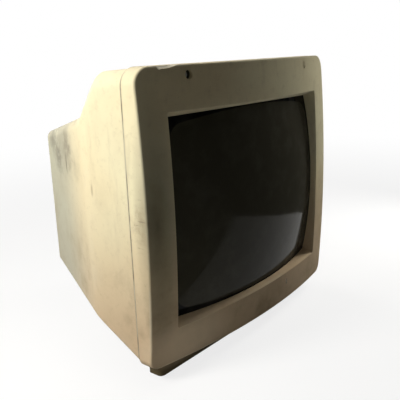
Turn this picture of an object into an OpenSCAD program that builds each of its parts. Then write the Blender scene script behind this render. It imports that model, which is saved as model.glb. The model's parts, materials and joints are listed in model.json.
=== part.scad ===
// Desktop computer monitor with a 14 inch colour picture tube, taken apart piece by piece.
// Millimetres. X runs to the right seen from the front, Y runs from the screen to the back,
// Z runs up. The origin lies on the table under the middle of the monitor's box.

/* [Case] */
// Width of the front bezel
case_w = 360; // [352:1:372]
// Height of the front bezel
case_h = 312.5; // [308:0.5:320]
// Wall thickness of the plastic mouldings
wall = 3; // [2.5:0.1:3.2]
// How far the middle of the front stands forward of its side edges
crown_side = 18.2; // [14:0.1:20]
// How far the middle of the front stands forward of its top and bottom edges
crown_rise = 7; // [5:0.1:9]
// Radius of the bezel's two upper corners, seen from the front
corner_top = 18; // [14:0.5:22]
// Radius of the bezel's two lower corners, seen from the front
corner_low = 12; // [10:0.5:14]
// Depth of the bezel's side walls, where the rear cover begins
seam_y = 17; // [16.8:0.1:18]
// Depth at which the cover's side walls turn inwards
bend_y = 80; // [78:1:84]
// Depth of the flat rear face of the wide part of the cover
pod_y = 215; // [213:1:220]
// Depth of the back of the hump that covers the tube's neck
back_y = 315; // [305:1:325]

/* [Screen] */
// Width of the opening in the bezel
view_w = 290; // [284:1:292]
// Height of the opening in the bezel
view_h = 228; // [222:1:230]
// Height of the opening's lower edge above the bezel's bottom
view_low = 39.5; // [38:0.5:41]
// How far the opening's walls slant inwards for each millimetre of depth
view_draft = 0.42; // [0.3:0.01:0.45]
// Outer radius of the picture tube's face
face_r = 540; // [520:5:600]
// Width of the tube's glass face
face_w = 322; // [316:1:324]
// Height of the tube's glass face
face_h = 258; // [252:1:260]
// Radius of the corners of the glass face
face_corner = 45; // [40:1:50]
// Radius of the tube's neck
neck_r = 14.6; // [14:0.1:15]

/* [Base] */
// How far the base hangs below the bezel
base_drop = 13; // [12:0.5:14]
// Height of the rubber feet below the base
foot_h = 5; // [4:0.5:7]
// Radius of the rubber feet
foot_r = 11; // [9:0.5:12]
// Depth of the base's rear wall, where the sockets are
base_back = 205; // [204:0.5:208]

/* [Controls] */
// Radius of the thumbwheels under the bezel
wheel_r = 10.5; // [10:0.1:10.8]
// Distance of the first thumbwheel from the middle
wheel_x = 80; // [76:1:84]
// Distance between the two thumbwheels
wheel_pitch = 28; // [26:1:30]
// Radius of the adjusting knobs at the back
knob_r = 4.5; // [4:0.1:5]
// Edge length of the square power button
button_size = 9; // [8:0.1:9]
// Travel of the power button
button_travel = 3; // [2:0.1:3.2]

/* [Hidden] */
$fn = 64;
fine = 200;
gap = 0.3;
run_gap = 0.05;

// Case outline and its bulged front, which is a patch of a large torus
half_w = case_w / 2;
mid_z = case_h / 2;
crown_y = crown_side + crown_rise;
crown_rx = (half_w * half_w + crown_side * crown_side) / (2 * crown_side);
crown_rz = (mid_z * mid_z + crown_rise * crown_rise) / (2 * crown_rise);

// Rear cover: the sizes of its cross-sections
cover_y = seam_y + gap;
roof_y = bend_y - 22;
drop_y = bend_y + 9.5;
cover_half = half_w - 1;
pod_half = 124.4;
cover_low = 2.5;
bend_low = 35.6;
pod_low = 62.8;
cover_top = 311;
roof_top = 308.6;
drop_top = 264;
pod_top = 234.8;
hump_half = 96;
hump_low = 82;
hump_top = 224;
back_half = 48;
back_low = 100;
back_top = 200;

// Picture tube
tube_z = view_low + view_h / 2;
face_y = -crown_y + 0.2;
face_half = face_w / 2;
face_hh = face_h / 2;
face_glass = 12;
mask_gap = face_glass + 9;
rim_y = 33;
ear_x = 160;
ear_z = 127;
ear_y = 12;
neck_end = 270;
neck_wall = 1.5;

// Base
base_z = -base_drop;
stand_h = base_drop + foot_h;
base_left = 165;
base_step_x = -20;
base_step_y = 20;
base_front_half = 160;
base_back_half = 84;
board_z = base_z + wall + 8;
board_t = 1.6;
board_top = board_z + board_t;

// Fixings
head_r = 3.8;
head_h = 2.6;
screw_r = 1.7;
pilot_r = 1.75;
pass_r = 2.2;
plug_r = 4.75;
front_screw = [113.3, 302.3];
front_screw_floor = -4;
low_screw = [144, 17];
low_screw_y = 24;

// Controls and sockets
wheel_y = 4;
wheel_axis_z = 6.3;
wheel_t = 5;
spindle_r = 2;
control_z = 14;
button_y = 7;
button_z = 14.5;
led_x = 59.4;
led_z = 26.3;
socket_z = 12;
inlet_x = -48;
video_x = 8;
knob_x = [46, 60, 74];
jack_half = 12.5;

// The middle of the monitor's depth, put over the origin
mid_y = (back_y + face_y) / 2;

// ---------------------------------------------------------------- helpers

// Stands the case on the table, with the origin under its middle
module placed() translate([0, -mid_y, stand_h]) children();

// Turns a child that is drawn along Z so that it runs along Y, to the back
module to_back() rotate([-90, 0, 0]) children();

// A cylinder along Y
module rod(x, y, z, r, length) translate([x, y, z]) to_back() cylinder(r = r, h = length);

// A tube along Y
module pipe(x, y, z, r, bore, length) difference() {
  rod(x, y, z, r, length);
  rod(x, y - 1, z, bore, length + 2);
}

// A box given by its lowest corner and its size
module block(corner, size) translate(corner) cube(size);

// Points of an arc
function arc(cx, cz, r, from, to, steps) =
  [for (i = [0:steps]) let (a = from + (to - from) * i / steps) [cx + r * cos(a), cz + r * sin(a)]];

// A rectangle with rounded corners, symmetrical about x = 0, between two heights
function outline(half, low, top, r_top, r_low, steps = 6) = concat(
  arc(half - r_top, top - r_top, r_top, 0, 90, steps),
  arc(r_top - half, top - r_top, r_top, 90, 180, steps),
  arc(r_low - half, low + r_low, r_low, 180, 270, steps),
  arc(half - r_low, low + r_low, r_low, 270, 360, steps));

function middle(ring) = [for (axis = [0:2]) [for (p = ring) p[axis]] * [for (p = ring) 1] / len(ring)];

// A solid skinned over rings of points, from the front ring to the rear one, closed by two fans
module skin(rings) {
  n = len(rings[0]);
  last = len(rings) - 1;
  sides = [for (k = [0:last - 1], i = [0:n - 1]) let (j = (i + 1) % n, a = k * n, b = a + n)
    each [[a + i, a + j, b + j], [a + i, b + j, b + i]]];
  caps = [for (i = [0:n - 1]) let (j = (i + 1) % n, hub = len(rings) * n)
    each [[hub, j, i], [hub + 1, last * n + i, last * n + j]]];
  polyhedron(concat([for (ring = rings) each ring], [middle(rings[0]), middle(rings[last])]),
    concat(sides, caps));
}

// A solid through flat cross-sections, each given as [depth, points]
module loft(sections) skin([for (s = sections) [for (p = s[1]) [p[0], s[0], p[1]]]]);

// The same closed outline with its long edges split into shorter ones
function split(points, step) = [for (i = [0:len(points) - 1])
  let (a = points[i], b = points[(i + 1) % len(points)], n = max(1, ceil(norm(b - a) / step)))
  each [for (k = [0:n - 1]) a + (b - a) * k / n]];

// An outline pushed along Y
module slab(points, from_y, to_y)
  translate([0, to_y, 0]) rotate([90, 0, 0]) linear_extrude(to_y - from_y) polygon(points);

// A plan outline pushed up
module raised(points, low, top) translate([0, 0, low]) linear_extrude(top - low) polygon(points);

// Everything behind the bulged front surface, moved back by an inset
module behind_crown(inset) {
  sector = 30;
  reach = mid_z + 8;
  profile = concat([[crown_rx - 150, mid_z - reach]],
    [for (i = [-10:10]) let (z = i / 10 * reach)
      [crown_rx - crown_rz + sqrt(crown_rz * crown_rz - z * z), mid_z + z]],
    [[crown_rx - 150, mid_z + reach]]);
  translate([0, crown_rx - crown_y + inset, 0]) rotate([0, 0, -90 - sector / 2])
    rotate_extrude(angle = sector, $fn = 360) polygon(profile);
}

// A ball that touches the front of the tube's face, made smaller by an inset
module face_ball(inset) translate([0, face_y + face_r, tube_z]) sphere(r = face_r - inset, $fn = fine);

// Depth of the bezel's bulged front, and of the tube's face, at a place seen from the front
function crown_at(x, z) = let (r = crown_rx - crown_rz + sqrt(pow(crown_rz, 2) - pow(z - mid_z, 2)))
  crown_rx - crown_y - sqrt(r * r - x * x);
function face_at(x, z) = face_y + face_r - sqrt(pow(face_r, 2) - x * x - pow(z - tube_z, 2));

// The bezel's opening seen from the front, made wider by a growth
function opening_edge(grow) =
  outline(view_w / 2 + grow, view_low - grow, view_low + view_h + grow, 2, 2, 3);

// The air in the opening: straight edges on the bulged front, walls that slant in to the tube's face
module opening_air() {
  edge = split(opening_edge(0), 24);
  slant = function (p, depth) let (d = view_draft * depth)
    [p[0] * (1 - 2 * d / view_w), tube_z + (p[1] - tube_z) * (1 - 2 * d / view_h)];
  rim = [for (p = edge) slant(p, face_at(p[0], p[1]) - crown_at(p[0], p[1]) + 1)];
  skin([[for (p = edge) [p[0], -crown_y - 10, p[1]]],
    [for (p = edge) [p[0], crown_at(p[0], p[1]) - 0.5, p[1]]],
    [for (i = [0:len(edge) - 1]) [rim[i][0], face_at(edge[i][0], edge[i][1]) + 1, rim[i][1]]],
    [for (p = rim) [p[0], seam_y + 1, p[1]]]]);
}

// ------------------------------------------------------------ outer mouldings

function bezel_edge(inset) =
  outline(half_w - inset, inset, case_h - inset, corner_top - inset, corner_low - inset);

module bezel_bosses() {
  intersection() {
    behind_crown(1);
    union() {
      four_corners() rod(ear_x, -crown_y, ear_z, 6.5, ear_y + crown_y);
      for (sx = [-1, 1]) {
        rod(sx * low_screw[0], -crown_y, low_screw[1], 5.5, low_screw_y + crown_y);
        rod(sx * front_screw[0], -crown_y, front_screw[1], 6.5, crown_y + front_screw_floor + 2.5);
      }
      for (x = [54, 130]) block([x - 3, -2, wall - 1], [6, 8, control_z - wall + 1]);
      for (x = [152, 163]) block([x, 1, wall - 1], [3, 12, 9 - wall]);
    }
  }
}

module front_bezel() color("wheat") placed() difference() {
  union() {
    difference() {
      intersection() {
        slab(bezel_edge(0), -40, seam_y);
        behind_crown(0);
      }
      intersection() {
        slab(bezel_edge(wall), -40, seam_y + 1);
        behind_crown(wall);
      }
    }
    intersection() {
      behind_crown(0.5);
      loft([[-crown_y, opening_edge(6.5)], [seam_y, opening_edge(-4.5)]]);
    }
    bezel_bosses();
  }
  // the opening, and the room for the tube's face behind it
  opening_air();
  intersection() {
    face_ball(-0.8);
    slab(outline(face_half + 1, tube_z - face_hh - 1, tube_z + face_hh + 1, face_corner, face_corner),
      -40, seam_y + 1);
  }
  four_corners() rod(ear_x, ear_y - 9, ear_z, 2.05, 12);
  for (sx = [-1, 1]) {
    rod(sx * low_screw[0], low_screw_y - 14, low_screw[1], pilot_r, 20);
    rod(sx * front_screw[0], -crown_y - 5, front_screw[1], plug_r, crown_y + 5 + front_screw_floor);
    rod(sx * front_screw[0], front_screw_floor - 1, front_screw[1], pass_r, 8);
  }
  for (x = [54, 130]) translate([x, 2, control_z - 8]) cylinder(r = 1.25, h = 12);
  for (i = [0, 1]) block([wheel_x + i * wheel_pitch - wheel_t / 2 - 0.7, wheel_y - wheel_r, -1],
    [wheel_t + 1.4, 2 * wheel_r, wall + 2]);
  block([half_w - wall - 2, button_y - button_size / 2 - gap, button_z - button_size / 2 - gap],
    [wall + 4, button_size + 2 * gap, button_size + 2 * gap]);
  block([led_x - 1.6, -crown_y - 2, led_z - 3.6], [3.2, 16, 7.2]);
}

// Height of the cover's underside at a depth
function under(y) = y < bend_y
  ? cover_low + (bend_low - cover_low) * (y - cover_y) / (bend_y - cover_y)
  : bend_low + (pod_low - bend_low) * (y - bend_y) / (pod_y - bend_y);

// Half the cover's width at a depth
function side(y) = y < bend_y ? cover_half
  : cover_half - (cover_half - pod_half) * (y - bend_y) / (pod_y - bend_y);

// The cover's cross-sections: full height, then the roof drops and the sides turn in, then the hump
function cover_sections(inset, front_y) = let (
    section = function (y, half, low, top, r_top, r_low)
      [y, outline(half - inset, low + inset, top - inset, r_top - inset, r_low - inset, 5)],
    rear_y = pod_y - inset) [
  section(front_y, cover_half, under(front_y), cover_top, 17, 10),
  section(roof_y, side(roof_y), under(roof_y), roof_top, 17, 10),
  section(bend_y, side(bend_y), bend_low, drop_top + (roof_top - drop_top) * 0.3, 15, 10),
  section(drop_y, side(drop_y), under(drop_y), drop_top, 14, 10),
  section(rear_y, pod_half, pod_low, pod_top, 9, 9),
  section(rear_y, hump_half, hump_low, hump_top, 12, 12),
  section(back_y - inset, back_half, back_low, back_top, 12, 12)];

// Half the base's width at a depth behind its front bar
function base_half(y) = base_front_half
  - (base_front_half - base_back_half) * (y - base_step_y) / (base_back - base_step_y);

base_fixings = [for (y = [48, 182], sx = [-1, 1]) [sx * (base_half(y) - 9.5), y]];

// Top of the web that a base screw pulls against
function base_web(y) = under(y) - 6;

module roof_vents() {
  for (row = [0, 1], i = [-8:8]) block([i * 9 - 1.5, drop_y + 8 + row * 58, pod_top - 12], [3, 48, 60]);
}

module hump_vents() {
  for (i = [-4:4]) block([i * 8 - 1.5, pod_y + 14, hump_top - 34], [3, 62, 60]);
  for (i = [-3:3]) block([i * 8 - 1.5, back_y - 12, back_low + 16], [3, 24, back_top - back_low - 32]);
}

module rear_cover() color("wheat") placed() difference() {
  union() {
    difference() {
      loft(cover_sections(0, cover_y));
      loft(cover_sections(wall, cover_y - 1));
      roof_vents();
      hump_vents();
    }
    // the tongue that finds the bezel, on the top and upper sides
    difference() {
      slab(outline(half_w - wall - gap, 60, case_h - wall - gap, 14.5, 4), seam_y - 5, seam_y + 3);
      slab(outline(half_w - wall - 2.2, 50, case_h - wall - 2.2, 12.5, 4), seam_y - 6, seam_y + 4);
    }
    // arms that the two front screws bite into, and the webs that carry them
    for (sx = [-1, 1]) {
      rod(sx * front_screw[0], front_screw_floor + 2.5 + gap, front_screw[1], 5.5, 27 - front_screw_floor);
      block([sx * front_screw[0] - 2, seam_y - 4, front_screw[1]], [4, 16, 6.5]);
    }
    intersection() {
      loft(cover_sections(0.2, cover_y));
      union() {
        for (sx = [-1, 1]) rod(sx * low_screw[0], low_screw_y + gap, low_screw[1], 7.5, 30);
        for (p = base_fixings) translate([p[0], p[1], under(p[1]) - 8]) cylinder(r = 6, h = 20);
      }
    }
  }
  // screw holes, screw wells and the way through to the base
  for (sx = [-1, 1]) {
    rod(sx * front_screw[0], front_screw_floor - 2, front_screw[1], pilot_r, 18);
    rod(sx * low_screw[0], low_screw_y - 2, low_screw[1], pass_r, 12);
    rod(sx * low_screw[0], low_screw_y + gap + 3, low_screw[1], 5.2, 40);
  }
  for (p = base_fixings) translate([p[0], p[1], under(p[1]) - 12]) cylinder(r = pilot_r, h = 22);
  raised([for (p = [[-1, 36], [1, 36], [1, 194], [-1, 194]]) [p[0] * (base_half(p[1]) - 18), p[1]]], -5, 66);
}

// The base's plan outline. At the front left it comes forward under the bezel;
// at the front right it stands back, which leaves finger room under the thumbwheels.
function base_plan(inset) = let (side_inset = inset * 1.1) [
  [inset - base_left, inset], [base_step_x - inset, inset], [base_step_x - inset, base_step_y + inset],
  [base_front_half - side_inset, base_step_y + inset], [base_back_half - side_inset, base_back - inset],
  [side_inset - base_back_half, base_back - inset], [side_inset - base_front_half, base_step_y + inset],
  [inset - base_left, base_step_y - 2]];

// Everything under the bezel and the cover's sloping underside
module below_cover() {
  profile = [[-1, base_z - 1], [base_back + 1, base_z - 1], [base_back + 1, under(base_back + 1) - gap],
    [bend_y, bend_low - gap], [cover_y, cover_low - gap], [cover_y, -gap], [-1, -gap]];
  rotate([90, 0, 90]) translate([0, 0, -half_w]) linear_extrude(case_w) polygon(profile);
}

feet_at = [[-120, 36], [114, 42], [-66, 166], [66, 166]];
standoffs = [[-104, 56], [96, 56], [-26, 192], [34, 192]];

module base_tub() color("tan") placed() difference() {
  intersection() {
    below_cover();
    union() {
      difference() {
        raised(base_plan(0), base_z, 70);
        raised(base_plan(wall), base_z + wall, 71);
      }
      for (p = base_fixings) translate([p[0], p[1], base_z]) cylinder(r = 7.2, h = 80);
      for (p = standoffs) translate([p[0], p[1], base_z]) cylinder(r = 3.5, h = board_z - base_z);
    }
  }
  for (p = base_fixings) translate([p[0], p[1], base_z - 1]) {
    cylinder(r = 5.2, h = base_web(p[1]) - base_z + 1);
    cylinder(r = pass_r, h = 80);
  }
  for (p = feet_at) translate([p[0], p[1], base_z - 1]) cylinder(r = 3.1, h = wall + 2);
  for (p = standoffs) translate([p[0], p[1], base_z + wall]) cylinder(r = 1.25, h = 12);
  // air slots in the floor
  for (row = [0, 1], i = [-5:5]) block([i * 9 - 1.5, 72 + row * 48, base_z - 1], [3, 36, wall + 2]);
  // sockets and adjusters in the rear wall
  block([inlet_x - 13.8, base_back - wall - 1, socket_z - 10.1], [27.6, wall + 2, 20.2]);
  block([video_x - 9.5, base_back - wall - 1, socket_z - 6], [19, wall + 2, 12]);
  for (sx = [-1, 1]) {
    rod(video_x + sx * jack_half, base_back - wall - 1, socket_z, 1.9, wall + 2);
    rod(inlet_x + sx * 20, base_back - wall - 1, socket_z, 1.7, wall + 2);
  }
  for (x = knob_x) rod(x, base_back - wall - 1, socket_z, spindle_r + 1, wall + 2);
}

module rubber_feet() color("dimgray") placed() for (p = feet_at) translate([p[0], p[1], 0]) {
  translate([0, 0, -stand_h]) cylinder(r1 = foot_r - 1, r2 = foot_r, h = foot_h - 0.1);
  translate([0, 0, base_z - 0.2]) cylinder(r = 3, h = wall + 2.5);
  translate([0, 0, base_z + wall + 0.2]) cylinder(r1 = 4, r2 = 2.6, h = 2.2);
}

module screw_hole_plug() color("wheat") placed()
  rod(front_screw[0], front_screw_floor - 7.3, front_screw[1], plug_r - 0.1, 4);

// A pan-head screw that drives along Z, with its head below the origin
module pan_screw(length, head = head_r, shank = screw_r) difference() {
  rotate_extrude() polygon(concat([[0, -head_h]], arc(head - 1.2, 1.2 - head_h, 1.2, 270, 360, 4),
    [[head, 0], [shank, 0], [shank, length - 1.5], [0, length]]));
  for (a = [0, 90]) rotate([0, 0, a]) translate([-0.5, -2, -head_h - 1]) cube([1, 4, 2.3]);
}

module bezel_screws() color("silver") placed() for (sx = [-1, 1])
  translate([sx * front_screw[0], front_screw_floor - 0.05, front_screw[1]]) to_back() pan_screw(16);

module cover_screws() color("silver") placed() for (sx = [-1, 1])
  translate([sx * low_screw[0], low_screw_y + gap + 3.05, low_screw[1]]) rotate([90, 0, 0]) pan_screw(14);

module base_screws() color("silver") placed() for (p = base_fixings)
  translate([p[0], p[1], base_web(p[1]) - 0.05]) pan_screw(15);

// ---------------------------------------------------------------- picture tube

function tube_edge(half, high, r, steps = 6) = outline(half, tube_z - high, tube_z + high, r, r, steps);

module crt_faceplate() color("dimgray") placed() difference() {
  intersection() {
    slab(tube_edge(face_half, face_hh, face_corner, 10), -40, rim_y);
    face_ball(0);
  }
  intersection() {
    slab(tube_edge(face_half - 9, face_hh - 9, face_corner - 9, 10), -40, rim_y + 1);
    face_ball(face_glass);
  }
}

// The funnel narrows from the rounded face to the round neck
function funnel_sections(inset) = [for (s = [[rim_y - (inset > 0 ? 1 : 0), 158, 126, 42],
    [60, 135, 108, 46], [90, 104, 84, 46], [120, 72, 60, 43], [150, 42, 39, 36], [170, 26, 25.5, 25],
    [190, neck_r + 1, neck_r + 1, neck_r + 1]])
  [s[0] + (s[0] == 190 && inset > 0 ? 1 : 0), tube_edge(s[1] - inset, s[2] - inset, s[3] - inset)]];

module crt_funnel() color([0.16, 0.16, 0.17]) placed() difference() {
  union() {
    loft(funnel_sections(0));
    rod(0, 186, tube_z, neck_r, neck_end - 186);
  }
  loft(funnel_sections(4));
  rod(0, 180, tube_z, neck_r - neck_wall, neck_end - 180 - 3);
}

// A dished sheet on a frame, held behind the faceplate
module shadow_mask() color("gray") placed() intersection() {
  face_ball(mask_gap);
  difference() {
    slab(tube_edge(143, 111, 26), -20, 34);
    difference() {
      slab(tube_edge(141.5, 109.5, 24.5), -21, 32.5);
      difference() {
        face_ball(mask_gap);
        face_ball(mask_gap + 0.6);
      }
    }
    slab(tube_edge(131, 100, 16), 31, 35);
  }
}

// Draws a child at the tube's four corners, given at the upper right one
module four_corners() for (mx = [0, 1], mz = [0, 1])
  mirror([mx, 0, 0]) translate([0, 0, tube_z]) mirror([0, 0, mz]) children();

module tension_band() color("silver") placed() {
  difference() {
    slab(tube_edge(face_half + 1.7, face_hh + 1.7, face_corner + 1.7, 10), 4, 28);
    slab(tube_edge(face_half + 0.2, face_hh + 0.2, face_corner + 0.2, 10), 3, 29);
  }
  four_corners() translate([ear_x, ear_y + gap, ear_z]) rotate([0, -45, 0]) difference() {
    union() {
      rod(0, 0, 0, 8, 2);
      block([-15.8, 0, -7], [15.8, 2, 14]);
    }
    rod(0, -1, 0, 2.9, 4);
  }
}

module crt_screw_washers() color("silver") placed() four_corners()
  pipe(ear_x, ear_y + gap + 2.05, ear_z, 7, 2.6, 1.2);

module crt_screws() color("silver") placed() four_corners()
  translate([ear_x, ear_y + gap + 3.35, ear_z]) rotate([90, 0, 0]) pan_screw(12, 5, 2);

module electron_gun() color("silver") placed() {
  rod(0, 262, tube_z, 8, 3);
  for (i = [0:4]) pipe(0, 206 + i * 11, tube_z, 9, 6.5, 8);
  pipe(0, 197, tube_z, 10.5, 8.5, 7);
  for (a = [0, 120, 240]) translate([0, 0, tube_z]) rotate([0, a, 0]) rod(0, 200, 8.9, 1, 63);
}

module tube_base_pins() color("silver") placed() for (i = [0:8])
  rod(10 * cos(i * 36 + 18), neck_end + 0.05, tube_z + 10 * sin(i * 36 + 18), 0.5, 6.5);

// The deflection coils lie against the funnel, inside the ferrite core
module yoke_ring(front_in, rear_in, front_out, rear_out, from_y, to_y)
  translate([0, from_y, tube_z]) to_back() rotate_extrude() polygon([[front_in, 0], [front_out, 0],
    [rear_out, to_y - from_y], [rear_in, to_y - from_y]]);

module deflection_coils() color([0.72, 0.36, 0.16]) placed() {
  yoke_ring(45, 17.2, 50, 22, 150, 192);
  yoke_ring(53, 45.5, 62, 59, 142, 150.2);
  yoke_ring(17.2, 15.6, 30, 26, 191.8, 197);
}

module yoke_core() color([0.2, 0.2, 0.21]) placed() yoke_ring(49.4, 26.5, 60, 38, 153, 188);

module yoke_clamp() color("silver") placed() {
  pipe(0, 197.4, tube_z, 17, 14.7, 5);
  difference() {
    block([-4, 197.4, tube_z + 16], [8, 5, 9]);
    block([-0.8, 196, tube_z + 17.2], [1.6, 8, 10]);
    translate([-6, 199.9, tube_z + 21.5]) rotate([0, 90, 0]) cylinder(r = 1.3, h = 12);
  }
}

module convergence_rings() color("white") placed() for (i = [0:5]) {
  pipe(0, 206 + i * 4, tube_z, 22, neck_r + 0.2, 2.4);
  translate([0, 0, tube_z]) rotate([0, i * 28 - 70, 0]) block([-2.5, 206 + i * 4, 21], [5, 2.4, 8]);
}

// One turn round the funnel: four straight runs and four bends
module degaussing_coil() color("black") placed() {
  half = 150;
  high = 121;
  bend = 46;
  thick = 4;
  for (s = [-1, 1]) {
    translate([bend - half, 50, tube_z + s * high]) rotate([0, 90, 0])
      cylinder(r = thick, h = 2 * (half - bend));
    translate([s * half, 50, tube_z + bend - high]) cylinder(r = thick, h = 2 * (high - bend));
  }
  for (q = [[1, 1, 0], [-1, 1, -90], [-1, -1, -180], [1, -1, -270]])
    translate([q[0] * (half - bend), 50, tube_z + q[1] * (high - bend)]) rotate([0, q[2], 0])
      rotate([90, 0, 0]) rotate_extrude(angle = 90) translate([bend, 0]) circle(r = thick);
}

module neck_board() color("darkgreen") placed() difference() {
  block([-39, 278, tube_z - 36], [78, board_t, 72]);
  rod(0, 277, tube_z, 6, 4);
}

module crt_socket() color("ivory") placed() difference() {
  rod(0, neck_end + 0.6, tube_z, 15, 7.3);
  for (i = [0:8]) rod(10 * cos(i * 36 + 18), neck_end, tube_z + 10 * sin(i * 36 + 18), 0.6, 7);
}

module video_amplifiers() color("silver") placed() for (i = [-1:1]) {
  block([i * 20 - 6, 279.7, tube_z + 16], [12, 12, 2]);
  block([i * 20 - 6, 279.7, tube_z + 18], [2, 12, 12]);
  block([i * 20 - 3, 279.7, tube_z + 18.2], [7, 8, 4]);
}

flyback_at = [54, 155];
flyback_top = board_top + 50.3;

// The cap stands square on the funnel's slope; the lead leaves its hub sideways
anode_tilt = atan(0.8);
anode_y = 88;
anode_z = tube_z + 86;
hub_y = anode_y + 7 * sin(anode_tilt);
hub_z = anode_z + 7 * cos(anode_tilt);

module anode_cap() color([0.25, 0.1, 0.08]) placed() difference() {
  union() {
    translate([0, anode_y, anode_z]) rotate([-anode_tilt, 0, 0]) {
      cylinder(r1 = 19, r2 = 12, h = 5);
      cylinder(r1 = 12, r2 = 8, h = 12);
    }
    translate([0, hub_y, hub_z]) rotate([0, 90, 0]) cylinder(r = 4, h = 15);
  }
  translate([9, hub_y, hub_z]) rotate([0, 90, 0]) cylinder(r = lead_r + 0.1, h = 7);
}

// The high-voltage lead from the anode cap down to the flyback transformer
lead_route = [[9.3, hub_y, hub_z], [17, hub_y, hub_z], [30, 95, 247], [48, 103, 245], [68, 114, 234],
  [82, 124, 214], [88, 134, 190], [88, 142, 160], [83, 148, 130], [73, 152, 102], [62, 154, 80],
  [flyback_at[0], flyback_at[1], 64], [flyback_at[0], flyback_at[1], flyback_top - 5.8]];
lead_r = 2.4;

function unit(a) = a / norm(a);

module anode_lead() color("firebrick") placed() {
  sides = 8;
  last = len(lead_route) - 1;
  skin([for (k = [0:last]) let (ahead = unit(lead_route[min(k + 1, last)] - lead_route[max(k - 1, 0)]),
      across = unit(cross(ahead, [0, 1, 0.02])), up = cross(across, ahead))
    [for (i = [0:sides - 1])
      lead_route[k] + lead_r * (across * cos(i * 360 / sides) + up * sin(i * 360 / sides))]]);
}

// ---------------------------------------------------------------- electronics

module main_board() color("darkgreen") placed() difference() {
  raised([[-118, 38], [118, 38], [66, 200], [-66, 200]], board_z, board_top);
  for (p = standoffs) translate([p[0], p[1], board_z - 1]) cylinder(r = 1.6, h = 4);
}

module board_screws() color("silver") placed() {
  for (p = standoffs) translate([p[0], p[1], board_top + 0.05]) mirror([0, 0, 1]) pan_screw(7, 2.8, 1.15);
  for (x = [54, 130]) translate([x, 2, control_z + board_t + 0.05]) mirror([0, 0, 1]) pan_screw(7, 2.8, 1.15);
}

module flyback_transformer() color([0.13, 0.13, 0.15]) placed() difference() {
  union() {
    block([flyback_at[0] - 18, flyback_at[1] - 21, board_top + 0.05], [36, 34, 38]);
    translate([flyback_at[0], flyback_at[1], board_top + 38]) cylinder(r = 9, h = 12);
    block([flyback_at[0] - 30, flyback_at[1] - 13, board_top + 6], [12, 14, 24]);
    for (z = [10, 22]) rod(flyback_at[0], flyback_at[1] - 25, board_top + z, 4, 5);
  }
  translate([flyback_at[0], flyback_at[1], flyback_top - 6]) cylinder(r = lead_r + 0.1, h = 9);
}

module power_transformer() color([0.75, 0.6, 0.3]) placed() {
  block([-58, 150, board_top + 0.05], [36, 32, 6]);
  block([-52, 152, board_top + 6], [24, 28, 22]);
  block([-58, 160, board_top + 6], [36, 12, 26]);
}

module mains_capacitor() color([0.12, 0.16, 0.3]) placed()
  translate([-72, 116, board_top + 0.05]) cylinder(r = 15, h = 42);

module small_capacitors() color([0.12, 0.16, 0.3]) placed() {
  for (i = [0:4], j = [0:1]) translate([-30 + i * 17, 96 + j * 20, board_top + 0.05])
    cylinder(r = 5 + (i + j) % 3, h = 16 + (i * 2 + j) % 4 * 3);
  for (i = [0:2]) translate([85, 80 + i * 16, board_top + 0.05]) cylinder(r = 5, h = 14);
}

module heatsink() color("silver") placed() {
  block([-46, 66, board_top + 0.05], [92, 3, 34]);
  for (i = [0:8]) block([-46 + i * 11.2, 68.5, board_top + 0.05], [2.4, 13, 34]);
}

module power_transistors() color([0.1, 0.1, 0.1]) placed() for (x = [-30, 0, 30])
  block([x - 8, 60.9, board_top + 8], [16, 5, 20]);

module mains_choke() color([0.72, 0.36, 0.16]) placed() pipe(6, 136, board_top + 12.2, 12, 5.5, 9);

module mains_fuse() color("silver") placed() {
  translate([-6, 170, board_top + 5]) rotate([0, 90, 0]) cylinder(r = 2.6, h = 20);
  for (x = [-7, 10]) block([x, 167, board_top + 0.05], [5, 6, 6]);
}

// ---------------------------------------------------------------- controls

wheel_places = [wheel_x, wheel_x + wheel_pitch];

module control_board() color("darkgreen") placed() difference() {
  block([49, -4, control_z + 0.05], [86, 25, board_t]);
  for (x = wheel_places) block([x - wheel_t / 2 - 0.7, -5, control_z - 1], [wheel_t + 1.4, 19, 4]);
  for (x = [54, 130]) translate([x, 2, control_z - 1]) cylinder(r = 1.6, h = 4);
}

module front_adjusters() color("royalblue") placed() for (x = wheel_places) difference() {
  block([x + wheel_t / 2 + 0.8, wheel_y - 5.5, wall + gap], [10, 11, control_z - wall - gap]);
  translate([x + wheel_t / 2 + 0.2, wheel_y, wheel_axis_z]) rotate([0, 90, 0])
    cylinder(r = spindle_r + run_gap, h = 9.2);
}

// A thumbwheel with grip notches and its own spindle, turning about X
module thumbwheel(x) translate([x, wheel_y, wheel_axis_z]) rotate([0, 90, 0]) {
  difference() {
    translate([0, 0, -wheel_t / 2]) cylinder(r = wheel_r, h = wheel_t);
    for (i = [0:35]) rotate([0, 0, i * 10]) translate([wheel_r + 0.25, 0, -wheel_t])
      rotate([0, 0, 45]) translate([-0.5, -0.5, 0]) cube([1, 1, 2 * wheel_t]);
  }
  cylinder(r = spindle_r, h = wheel_t / 2 + 8);
}

module brightness_wheel() color("ivory") placed() thumbwheel(wheel_places[0]);

module contrast_wheel() color("ivory") placed() thumbwheel(wheel_places[1]);

module power_switch() color([0.15, 0.15, 0.15]) placed() difference() {
  block([150.5, button_y - 5, 9 - 1 + 0.05], [17, 10, 11.3]);
  translate([154, button_y, button_z]) rotate([0, 90, 0]) cylinder(r = 2 + run_gap, h = 20);
}

module power_button() color("ivory") placed() {
  block([172, button_y - button_size / 2, button_z - button_size / 2],
    [half_w - 172.4, button_size, button_size]);
  translate([158, button_y, button_z]) rotate([0, 90, 0]) cylinder(r = 2, h = 15);
}

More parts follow.
